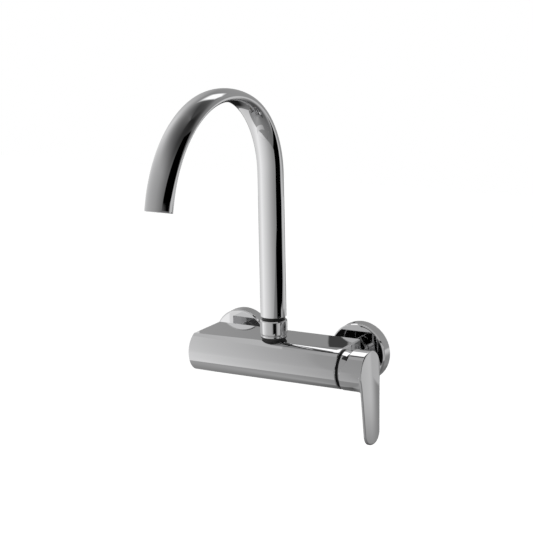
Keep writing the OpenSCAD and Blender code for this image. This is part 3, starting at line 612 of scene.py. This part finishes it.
def dome():
    """Half section of the dome behind the hub, a spherical shell with a foot, carried round the axis."""
    foot = span("dome_cap")[0][0] - PIVOT_X

    def shell(r, low, count):
        a = np.linspace(math.asin(low / r), math.acos(DOME_OPEN_R / r), count)
        return np.stack([r * np.cos(a), r * np.sin(a)], 1)

    outer, inside = shell(DOME_R, foot, 40), shell(DOME_R - DOME_WALL, foot + DOME_FOOT, 30)[::-1]
    profile = np.concatenate([[[outer[0, 0] - BESIDE, foot]], outer, inside,
                              [[NECK_HOLE_R, foot + DOME_FOOT], [NECK_HOLE_R, foot]]])
    piece = turned("dome_shell", profile, CARTRIDGE_AXIS + [PIVOT_X, 0, 0], (1, 0, 0), "body", "dome_cap",
                   CHROME_TRIM, 160, sharp=SHARP)


def escutcheon(side):
    """Pressed cover: rim, bevelled face and the collar that grips the union's thread."""
    lo, hi = span("escutcheon_" + side)
    centre = ((lo[0] + hi[0]) / 2, 0, (lo[2] + hi[2]) / 2)
    r, d, w, hole, grip = ESC_R, ESC_DEPTH, ESC_WALL, UNION_THREAD_R, UNION_THREAD_R + ESC_GRIP_WALL
    profile = rounded([
        (r - w, 0, 0.3), (r, 0, 0.3), (r - ESC_DRAFT, d - ESC_BEVEL, 1.0), (r - ESC_BEVEL, d, 1.0),
        (hole, d, 0.3), (hole, d - ESC_GRIP, 0.2), (grip, d - ESC_GRIP, 0.2), (grip, d - w, 0.3),
        (r - ESC_BEVEL - w / 2, d - w, 0.4), (r - w - ESC_DRAFT, d - ESC_BEVEL - w / 2, 0.4)])
    piece = turned("wall_cover_" + side, profile, centre, (0, -1, 0), "body", "escutcheon_" + side,
                   CHROME_TRIM, 192)


def union_nut(side):
    """Hexagon nut: each ring's radius is the lesser of the hexagon and the end chamfers' cones."""
    lo, hi = span("union_nut_" + side)
    length, flat_r = hi[1] - lo[1], (hi[2] - lo[2]) / 2
    rows = np.concatenate([NUT_ENDS, [length / 2], length - NUT_ENDS[::-1]])

    def radius(angle, r, h):
        hexagon = flat_r / np.cos((angle + TAU / 12) % (TAU / 6) - TAU / 12)
        hexagon = np.minimum(hexagon, flat_r * NUT_CORNERS)
        cone = flat_r - NUT_CHAMFER + NUT_SLOPE * np.minimum(h, length - h)
        return np.where(r > NUT_MOUTH_R, np.minimum(hexagon, cone), r + 0 * angle)

    lip = length - NUT_LIP_T
    inside = [[NUT_LIP_R + 0.05, length], [NUT_LIP_R, length - 0.2], [NUT_LIP_R, lip],
              [UNION_THREAD_R, lip], [UNION_THREAD_R, BESIDE], [NUT_MOUTH_R, 0]]
    profile = np.concatenate([np.stack([0 * rows + flat_r, rows], 1), inside])
    centre = ((lo[0] + hi[0]) / 2, hi[1], (lo[2] + hi[2]) / 2)
    piece = turned("nut_" + side, profile, centre, (0, -1, 0), "body", "union_nut_" + side,
                   CHROME_TRIM, 144, radius=radius, sharp=24)


def s_union(side):
    """Eccentric union in one skin: wall thread, neck and bar-side thread about shifted centres, and
    the bore back through them. The wall thread's radius falls and rises along a helix."""
    lo, hi = span("s_union_" + side)
    x = -INLET_X if side == "left" else INLET_X
    front, end, rise = lo[1], hi[1], AXIS_Z + NUT_OVER_AXIS
    rim, edge = UNION_RIM_R, 0.4
    rows = [(WALL_TIP_R, end, 0), (WALL_TIP_R, end - 0.01, 0)]
    rows += [(WALL_THREAD_R, y, 0) for y in np.arange(end - 1.2, THREAD_START, -THREAD_STEP)]
    rows += [(WALL_NECK_R, 1.0, 0), (WALL_NECK_R, 0.0, 0),
             (rim - edge, 0.0, rise / 2), (rim, -edge, rise / 2),
             (rim, edge - UNION_RIM_T, rise / 2), (rim - edge, -UNION_RIM_T, rise / 2),
             (BAR_THREAD_R, -UNION_RIM_T, rise), (BAR_THREAD_R, front + 0.5, rise),
             (BAR_THREAD_R - 0.5, front, rise), (BAR_BORE_R, front, rise),
             (BAR_BORE_R, -UNION_RIM_T, rise), (WALL_BORE_R, -3.0, 0),
             (WALL_BORE_R, end - 0.5, 0), (WALL_BORE_R + 0.5, end, 0)]
    rows = np.array(rows)
    shift = rows[:, 2:] * [0, 0, 1]

    def radius(angle, r, h):
        depth = THREAD_DEPTH * (0.5 + 0.5 * np.cos(TAU * h / THREAD_PITCH + angle)) ** 0.7
        fade = blend((-h - THREAD_START) / 2)
        return np.where(np.isclose(r, WALL_THREAD_R), r - depth * fade, r)

    piece = turned("union_" + side, rows[:, :2] * [1, -1], (x, 0, 0), (0, -1, 0), "body", "s_union_" + side,
                   BRASS, 96, shift=shift, radius=radius, sharp=40)


def ring_of(node, along=2):
    """Outer radius, length and lower end of a round CAD node whose axis runs along x, 0, or z, 2."""
    lo, hi = span(node)
    across = 1 if along == 0 else 0
    return (hi[across] - lo[across]) / 2, hi[along] - lo[along], lo[along]


def spout_ring(name, profile, z, body, node, material):
    """A turned piece on the spout's axis."""
    return turned(name, rounded(profile), (0, AXIS_Y, z), (0, 0, 1), body, node, material)


def gasket():
    """Black ring that tapers down into a shallow seat in the bar's flat top."""
    r, height, z = ring_of("socket_gasket")
    piece = spout_ring("gasket", [
        (SOCKET_BORE_R, -GASKET_SUNK, 0.1), (GASKET_FOOT_R, -GASKET_SUNK, 0.1), (GASKET_FOOT_R, 0, 0.2),
        (r, height - 0.4, 0.3), (r, height, 0.2), (SOCKET_BORE_R, height, 0.1)],
        z, "body", "socket_gasket", RUBBER)


def socket():
    """Turned socket: spigot in the bar, flange over the gasket, and the neck that the nut turns on."""
    r, top, z = ring_of("spout_socket")
    low, high = TOP_Z + FLANGE_LOW - z, TOP_Z + FLANGE_HIGH - z
    piece = spout_ring("socket", [
        (SOCKET_IN_R, 0, 0.2), (SOCKET_FOOT_R, 0, 0.2), (SOCKET_FOOT_R, low, 0.1), (r, low, 0.4),
        (r, high, 0.5), (SOCKET_NECK_R, high, 0.1), (SOCKET_NECK_R, top, 0.3), (SOCKET_IN_R, top, 0.3)],
        z, "body", "spout_socket", CHROME_TRIM)


def collar_nut():
    """Chrome nut with a lip inside its upper end and chamfers on both ends."""
    r, height, z = ring_of("collar_nut")
    piece = spout_ring("collar", [
        (COLLAR_THREAD_R, 0, 0.2), (r - 0.7, 0, 0.2), (r, 0.7, 0.3), (r, height - 1.1, 0.35),
        (r - 1.0, height, 0.25), (COLLAR_LIP_R, height, 0.2), (COLLAR_LIP_R, height - COLLAR_LIP_T, 0.2),
        (COLLAR_THREAD_R, height - COLLAR_LIP_T, 0.2)],
        z, "body", "collar_nut", CHROME_TRIM)


def bearing_ring():
    """Black ring between the collar nut and the tube, which turns with the tube."""
    r, height, z = ring_of("bearing_ring")
    piece = spout_ring("bearing", [
        (BEARING_IN_R, 0, 0.1), (r, 0, 0.3), (r, height, 0.3), (BEARING_IN_R, height, 0.1)],
        z, "spout", "bearing_ring", BLACK_PLASTIC)


def gap_ring():
    """Black ring between the bar's end and the dome."""
    r, length, x = ring_of("gap_ring", along=0)
    profile = rounded([(NECK_HOLE_R, 0, 0.1), (r, 0, 0.2), (r, length, 0.3), (NECK_HOLE_R, length, 0.1)])
    piece = turned("gap", profile, (x, AXIS_Y, AXIS_Z), (1, 0, 0), "body", "gap_ring", BLACK_PLASTIC)


# ---- Studio ----

CAMERA_AT = Vector((0.9943, -1.8054, 0.5657))
CAMERA_TURN, CAMERA_HEIGHT, CAMERA_ROLL = 29.98189, 12.84065, -1.21660  # degrees
LENS, SENSOR = 126.43, 36.0

PLATE = 0.55  # how much chrome plate reflects
MIDDLE = Vector((0, -0.07, 0.0))  # the near screen stands round this point
RISER = Vector((0, -0.07, 0.15))  # points that the cards' directions are seen from
ARCH = Vector((0, -0.15, 0.25))
BLADE = Vector((0.12, -0.07, -0.04))
FLAT_END = Vector((0.07, -0.055, 0.0275))
COVER_SIDE = Vector((0.105, -0.013, 0.01))

# Tones are greys from 0 to 255, as chrome shows them. Directions are (bearing, height) in degrees:
# the bearing is counted from the front towards the lever's end, and the height from the level.
TENT_TONES = ((-180, 138), (-150, 127), (-110, 200), (-60, 167), (-30, 146), (0, 104), (100, 80),
              (125, 112), (150, 140), (180, 136))
TENT_R, TENT_ROWS, TENT_SIDES = 2.2, 33, 64
TENT_HIGH, TENT_TOP = (0.55, 0.98), 0.2  # its tone falls to this share over these shares of its height
TENT_LOW, TENT_FOOT = (-0.3, -0.95), 0.5
SCREEN_TONES = ((-180, 150), (-125, 185), (-90, 206), (-60, 232), (-35, 214), (0, 188), (30, 160),
                (60, 132), (110, 130), (180, 150))
SCREEN_SPAN, SCREEN_R, SCREEN_TOP = (-128, 72), 0.24, 0.18
SCREEN_FOOT = ((-128, -0.14), (-15, -0.14), (75, 0.12))  # (bearing, height in metres)
COLLAR_TONES = ((-60, 215), (-45, 203), (-34, 186), (-20, 175), (2, 167), (14, 158), (21, 135),
                (26, 20), (30, 5), (44, 5), (49, 20), (54, 130), (61, 164), (80, 184), (88, 170), (180, 150))
COLLAR_SPAN, COLLAR_R, COLLAR_TOP = (-50, 88), 0.21, 0.003
COLLAR_FOOT, COLLAR_LEAN = ((-60, -0.043), (90, -0.043)), 0.7
HOOD_TONES = ((-0.30, 215), (-0.156, 205), (-0.110, 193), (-0.075, 184), (-0.027, 173), (0.004, 165),
              (0.041, 156), (0.056, 147), (0.16, 138))  # (x, tone)
HOOD_PROFILE = ((-0.0895, 0.034, 0.125), (-0.2, -0.005, 0.068), (-0.2, -0.16, 0.068))  # (y, z, x of its end)
HOOD_DULL_Y, HOOD_DULL = (-0.12, -0.09), 0.97
ROOFS = (  # name, tone, z, corners
    ("left_roof", 176, 0.148, ((-0.22, -0.14), (-0.22, -0.01), (-0.04, -0.01), (-0.04, -0.14))),
    ("bar_light", 262, 0.148, ((-0.04, -0.014), (-0.04, -0.004), (0.03, -0.002), (0.03, -0.053))),
    ("hub_light", 262, 0.06, ((0.064, -0.074), (0.064, -0.043), (0.1, -0.043), (0.1, -0.074))),
    ("front_roof", 155, 0.148, ((-0.04, -0.15), (-0.04, -0.078), (0.07, -0.078), (0.07, -0.15))),
    ("cover_roof", 160, 0.06, ((0.066, -0.042), (0.066, 0.0), (0.17, 0.0), (0.17, -0.042))))
NUT_SHADE_X, NUT_SHADE_Y, NUT_SHADE_Z = (0.07, 0.105), -0.034, (0.031, 0.08)
TABLE_NEAR = ((-180, 80), (-120, 118), (-60, 150), (-30, 140), (30, 118), (90, 102), (120, 76), (180, 72))
TABLE_FAR = ((-180, 80), (-168, 20), (-142, 20), (-128, 140), (-60, 170), (0, 150), (60, 105),
             (95, 105), (125, 160), (150, 186), (168, 186))
TABLE_REACH = (0.3, 0.8)
TABLE_Z, TABLE_SIDES = -0.22, 96
BOARD_STEPS = 81  # points along a curved board
CARDS = (  # name, tone, distance, soft, seen from, corners
    ("flag", 0, 1.9, 0.12, ARCH,
     ((0, 12), (30, 60), (52, 68), (74, 62), (108, 34), (94, 12), (72, 5), (40, 6))),
    ("low_flag", 0, 0.8, 0.12, RISER,
     ((61, -26), (61, -4), (90, -2), (120, -3), (133, -8), (130, -17), (118, -20), (96, -26))),
    ("softbox", 260, 1.9, 0.6, ARCH,
     ((156, 36), (158, 50), (180, 57), (-155, 57), (-132, 49), (-150, 38), (180, 34))),
    ("blade_shade", 125, 0.5, 0.7, BLADE, ((150, -1), (178, -1), (178, -30), (150, -30))),
    ("flat_shade", 55, 0.15, 0.25, FLAT_END,
     ((-149, 5), (-148, 15), (-149.4, 26), (-157.2, 26), (-160, 5))),
    ("cover_side", 165, 0.05, 0.2, COVER_SIDE, ((18, -35), (18, 35), (88, 35), (88, -35))),
    ("back_strip", 182, 2.0, 0.25, ARCH,
     ((58, -9), (58, 8), (95, 9), (128, 7), (140, -2), (128, -12), (95, -9))),
    ("back_board", 186, 2.05, 0.25, ARCH,
     ((120, -36), (122, -8), (150, -8), (172, -11), (172, -28), (150, -38))))
KEY_AT, KEY_AIM = Vector((-0.6, -0.9, 1.2)), Vector((0, -0.1, 0.05))
KEY_SIZE, KEY_POWER = 0.5, 6
FLOOR_HALF, FLOOR_Z, FLOOR_GLOW = 3.0, -0.42, 0.45
FILL = 0.6  # the world's strength as light on rough surfaces


def camera():
    """A long lens from the front and the lever's end, from a little above."""
    data = bpy.data.cameras.new("camera")
    data.lens, data.sensor_width, data.clip_end = LENS, SENSOR, 100
    cam = bpy.data.objects.new("camera", data)
    back, roll = bearing(Vector(), CAMERA_TURN, CAMERA_HEIGHT, 1), math.radians(CAMERA_ROLL)
    level = bearing(Vector(), CAMERA_TURN + 90, 0, 1)
    right = level * math.cos(roll) + back.cross(level) * math.sin(roll)
    axes = Matrix((right, back.cross(right), back)).transposed()
    cam.matrix_world = Matrix.Translation(CAMERA_AT) @ axes.to_4x4()
    bpy.context.scene.collection.objects.link(cam)
    bpy.context.scene.camera = cam


def glow(tone):
    """Strength of a board that chrome shows as this tone: the tone turned from a screen's value into
    light by the usual curve, over what the plate reflects."""
    c = tone / 255
    return (c / 12.92 if c <= 0.04045 else ((c + 0.055) / 1.055) ** 2.4) / PLATE


def board_material(name):
    """An emission material, with its nodes, its object coordinates split, and its strength socket."""
    mat = bpy.data.materials.new(name)
    mat.use_nodes = True
    nodes, links = mat.node_tree.nodes, mat.node_tree.links
    nodes.clear()
    out, emit = nodes.new("ShaderNodeOutputMaterial"), nodes.new("ShaderNodeEmission")
    coord, split = nodes.new("ShaderNodeTexCoord"), nodes.new("ShaderNodeSeparateXYZ")
    links.new(emit.outputs[0], out.inputs["Surface"])
    links.new(coord.outputs["Object"], split.inputs[0])
    return mat, nodes, links, emit, split, out


def math_node(nodes, links, kind, first, second):
    """One step of arithmetic on two values, which are sockets or plain numbers."""
    node = nodes.new("ShaderNodeMath")
    node.operation = kind
    for socket, value in zip(node.inputs, (first, second)):
        if isinstance(value, (int, float)):
            socket.default_value = value
        else:
            links.new(value, socket)
    return node.outputs[0]


def ramp_node(nodes, links, value, low, high, out_low=0.0, out_high=1.0, smooth=True):
    """Maps a value from one range to another."""
    node = nodes.new("ShaderNodeMapRange")
    node.interpolation_type = "SMOOTHSTEP" if smooth else "LINEAR"
    for socket, number in zip(("From Min", "From Max", "To Min", "To Max"), (low, high, out_low, out_high)):
        node.inputs[socket].default_value = number
    links.new(value, node.inputs["Value"])
    return node.outputs["Result"]


def seen_straight(nodes, links):
    """1 for what the camera sees, also in metal or through glass, and 0 for light on rough surfaces."""
    path = nodes.new("ShaderNodeLightPath")
    first = math_node(nodes, links, "MAXIMUM", path.outputs["Is Camera Ray"], path.outputs["Is Glossy Ray"])
    return math_node(nodes, links, "MAXIMUM", first, path.outputs["Is Transmission Ray"])


def mix_shaders(nodes, links, share, first, second, out):
    """Shows the first shader where the share is 0 and the second where it is 1."""
    mix = nodes.new("ShaderNodeMixShader")
    for socket, source in zip(mix.inputs, (share, first.outputs[0], second.outputs[0])):
        links.new(source, socket)
    links.new(mix.outputs[0], out.inputs["Surface"])


def one_sided(nodes, links, emit, out):
    """The board glows on the side its faces look to, and is clear from the other."""
    backfacing = nodes.new("ShaderNodeNewGeometry").outputs["Backfacing"]
    mix_shaders(nodes, links, backfacing, emit, nodes.new("ShaderNodeBsdfTransparent"), out)


def hang(name, corners, faces, mat, at=(0, 0, 0), size=1.0):
    """A board from its corners and faces. It shows in reflections only."""
    mesh = bpy.data.meshes.new(name)
    mesh.from_pydata(np.reshape(corners, (-1, 3)).tolist(), [], faces)
    mesh.materials.append(mat)
    board = bpy.data.objects.new(name, mesh)
    board.location, board.scale = at, (size, size, size)
    board.visible_camera = board.visible_diffuse = board.visible_shadow = board.visible_transmission = False
    bpy.context.scene.collection.objects.link(board)
    return mesh


def bearing(eye, az, el, distance):
    """Point in a direction: az from the front towards the lever's end, el upwards, in degrees."""
    a, e = math.radians(az), math.radians(el)
    return eye + distance * Vector((math.sin(a) * math.cos(e), -math.cos(a) * math.cos(e), math.sin(e)))


def card(name, tone, distance, soft, eye, corners):
    """A board whose corners lie in the given directions from a point. Its cover is 1 inside and
    falls to 0 at its rim, over the share soft of the way to its middle."""
    mat, nodes, links, emit, _, out = board_material(name)
    emit.inputs["Strength"].default_value = glow(tone)
    cover = nodes.new("ShaderNodeAttribute")
    cover.attribute_name = "cover"
    share = ramp_node(nodes, links, cover.outputs["Fac"], 0, 1)
    mix_shaders(nodes, links, share, nodes.new("ShaderNodeBsdfTransparent"), emit, out)
    rim = np.array([bearing(eye, az, el, distance) for az, el in corners])
    middle, count = rim.mean(0), len(rim)
    inner = middle + (rim - middle) * (1 - soft)
    ring = np.arange(count)
    after = (ring + 1) % count
    band = np.stack([ring, after, after + count, ring + count], 1).tolist()
    fan = np.stack([ring + count, after + count, 0 * ring + 2 * count], 1).tolist()
    mesh = hang(name, np.concatenate([rim, inner, middle[None]]), band + fan, mat)
    weights = [0.0] * count + [1.0] * (count + 1)
    mesh.attributes.new("cover", "FLOAT", "POINT").data.foreach_set("value", weights)


def tone_ramp(nodes, links, share, stops):
    """Tone along a 0..1 share, from (share, tone) stops."""
    ramp = nodes.new("ShaderNodeValToRGB")
    marks = ramp.color_ramp.elements
    marks.remove(marks[1])
    for i, (at, tone) in enumerate(stops):
        mark = marks.new(at) if i else marks[0]
        mark.color = (glow(tone),) * 3 + (1,)
    links.new(share, ramp.inputs[0])
    return ramp.outputs["Color"]


def tones_round(nodes, links, split, stops):
    """Tone by bearing round the mixer, from (degrees, tone) stops."""
    front = math_node(nodes, links, "MULTIPLY", split.outputs["Y"], -1)
    turn = math_node(nodes, links, "ARCTAN2", split.outputs["X"], front)
    share = ramp_node(nodes, links, turn, -math.pi, math.pi, smooth=False)
    return tone_ramp(nodes, links, share, [((az + 180) / 360, tone) for az, tone in stops])


def tent():
    """Round grey tent: its tone goes round with the bearing and falls off overhead and underfoot."""
    mat, nodes, links, emit, split, _ = board_material("tent")
    side = tones_round(nodes, links, split, TENT_TONES)
    high = ramp_node(nodes, links, split.outputs["Z"], *TENT_HIGH, 1.0, TENT_TOP)
    low = ramp_node(nodes, links, split.outputs["Z"], *TENT_LOW, 1.0, TENT_FOOT)
    ends = math_node(nodes, links, "MULTIPLY", high, low)
    links.new(math_node(nodes, links, "MULTIPLY", side, ends), emit.inputs["Strength"])
    el = np.linspace(-TAU / 4, TAU / 4, TENT_ROWS)[:, None]
    az = np.linspace(0, TAU, TENT_SIDES, endpoint=False)
    grid = np.stack([np.cos(el) * np.cos(az), np.cos(el) * np.sin(az), np.sin(el) + 0 * az], -1)
    hang("tent", grid, grid_quads(TENT_ROWS, TENT_SIDES, False, True).tolist(), mat, RISER, TENT_R)


def curved_board(name, stops, az_span, radius, foot, top, lean=0.0):
    """Board bent round the mixer's middle. Its tone goes round with the bearing, and its foot goes
    through (bearing, height) points. One that leans, with its foot further out, is clear from above."""
    mat, nodes, links, emit, split, out = board_material(name)
    links.new(tones_round(nodes, links, split, stops), emit.inputs["Strength"])
    if lean:
        one_sided(nodes, links, emit, out)
    az = np.linspace(*az_span, BOARD_STEPS)
    low = np.interp(az, *zip(*foot))
    z = np.stack([0 * low + top, low])
    reach = radius + lean * (top - z)
    grid = np.stack([reach * np.sin(np.radians(az)), -reach * np.cos(np.radians(az)), z], -1)
    hang(name, grid, grid_quads(2, BOARD_STEPS, False, False).tolist(), mat, MIDDLE)


def hood():
    """Long board bent round the bar's front, clear from outside. Its tone goes along the bar, and
    the roof is a little duller towards its inner edge."""
    mat, nodes, links, emit, split, out = board_material("hood")
    left, right = HOOD_TONES[0][0], HOOD_TONES[-1][0]
    share = ramp_node(nodes, links, split.outputs["X"], left, right, smooth=False)
    tone = tone_ramp(nodes, links, share, [((x - left) / (right - left), tone) for x, tone in HOOD_TONES])
    dull = ramp_node(nodes, links, split.outputs["Y"], *HOOD_DULL_Y, 1.0, HOOD_DULL)
    links.new(math_node(nodes, links, "MULTIPLY", tone, dull), emit.inputs["Strength"])
    one_sided(nodes, links, emit, out)
    grid = [[(x, y, z) for x in (left, end)] for y, z, end in HOOD_PROFILE]
    hang("hood", grid, grid_quads(len(HOOD_PROFILE), 2, False, False).tolist(), mat)


def pane(name, tone, corners):
    """Four-cornered board, clear from behind. Seen from its lit side its corners go anticlockwise."""
    mat, nodes, links, emit, _, out = board_material(name)
    emit.inputs["Strength"].default_value = glow(tone)
    one_sided(nodes, links, emit, out)
    hang(name, corners, [(0, 1, 2, 3)], mat)


def nut_shade():
    """Black pane over the bar's rear edge, lit side to the wall: it darkens the gap behind the hub."""
    (left, right), (low, high) = NUT_SHADE_X, NUT_SHADE_Z
    pane("nut_shade", 0, [(x, NUT_SHADE_Y, z) for x, z in
                          ((left, low), (left, high), (right, high), (right, low))])


def table():
    """Grey round table under the mixer: its tone goes round with the bearing, from one ring of tones
    near the mixer to another further out."""
    mat, nodes, links, emit, split, _ = board_material("table")
    reach, mix = nodes.new("ShaderNodeVectorMath"), nodes.new("ShaderNodeMix")
    reach.operation, mix.data_type = "LENGTH", "RGBA"
    links.new(nodes["Texture Coordinate"].outputs["Object"], reach.inputs[0])
    links.new(ramp_node(nodes, links, reach.outputs["Value"], *TABLE_REACH), mix.inputs["Factor"])
    links.new(tones_round(nodes, links, split, TABLE_NEAR), mix.inputs["A"])
    links.new(tones_round(nodes, links, split, TABLE_FAR), mix.inputs["B"])
    links.new(mix.outputs["Result"], emit.inputs["Strength"])
    az = np.linspace(0, TAU, TABLE_SIDES, endpoint=False)
    rim = TENT_R * np.stack([np.cos(az), np.sin(az), 0 * az], -1)
    hang("table", rim, [tuple(range(TABLE_SIDES))], mat, MIDDLE + Vector((0, 0, TABLE_Z)))


def world():
    """White all round, plain for what the camera and the metal see, softer as fill light."""
    sky = bpy.data.worlds.new("studio")
    sky.use_nodes = True
    bpy.context.scene.world = sky
    nodes, links = sky.node_tree.nodes, sky.node_tree.links
    nodes["Background"].inputs["Color"].default_value = (1, 1, 1, 1)
    strength = ramp_node(nodes, links, seen_straight(nodes, links), 0, 1, FILL, 1.0, smooth=False)
    links.new(strength, nodes["Background"].inputs["Strength"])


def floor():
    """Plain pale floor, well below the mixer."""
    mat, shader = principled("pale_floor", (0.92, 0.92, 0.92), roughness=0.9)
    nodes, links = mat.node_tree.nodes, mat.node_tree.links
    shader.inputs["Emission Color"].default_value = (1, 1, 1, 1)
    strength = math_node(nodes, links, "MULTIPLY", seen_straight(nodes, links), FLOOR_GLOW)
    links.new(strength, shader.inputs["Emission Strength"])
    mesh = bpy.data.meshes.new("floor")
    corners = [(x * FLOOR_HALF, y * FLOOR_HALF, FLOOR_Z) for x, y in ((-1, -1), (1, -1), (1, 1), (-1, 1))]
    mesh.from_pydata(corners, [], [(0, 1, 2, 3)])
    mesh.materials.append(mat)
    ground = bpy.data.objects.new("floor", mesh)
    bpy.context.scene.collection.objects.link(ground)


def key_light():
    """One soft lamp from the upper left, which chrome doesn't mirror."""
    data = bpy.data.lights.new("key", "AREA")
    data.shape, data.size, data.size_y, data.energy = "RECTANGLE", KEY_SIZE, KEY_SIZE, KEY_POWER
    lamp = bpy.data.objects.new("key", data)
    lamp.matrix_world = Matrix.LocRotScale(KEY_AT, (KEY_AT - KEY_AIM).to_track_quat("Z", "Y"), (1, 1, 1))
    lamp.visible_glossy = False
    bpy.context.scene.collection.objects.link(lamp)


def studio():
    """World, floor, the boards that the chrome mirrors, and the lamp."""
    world()
    floor()
    tent()
    curved_board("screen", SCREEN_TONES, SCREEN_SPAN, SCREEN_R, SCREEN_FOOT, SCREEN_TOP)
    curved_board("collar_board", COLLAR_TONES, COLLAR_SPAN, COLLAR_R, COLLAR_FOOT, COLLAR_TOP, COLLAR_LEAN)
    hood()
    for name, tone, z, corners in ROOFS:
        pane(name, tone, [(x, y, z) for x, y in corners])
    nut_shade()
    table()
    for spec in CARDS:
        card(*spec)
    key_light()


# ---- Build ----

camera()
dress_cad_nodes()
bar()
spout()
lever()
dome()
for where in ("left", "right"):
    escutcheon(where)
    union_nut(where)
    s_union(where)
gasket()
socket()
collar_nut()
bearing_ring()
gap_ring()
studio()

bpy.context.scene.view_settings.view_transform = "Standard"
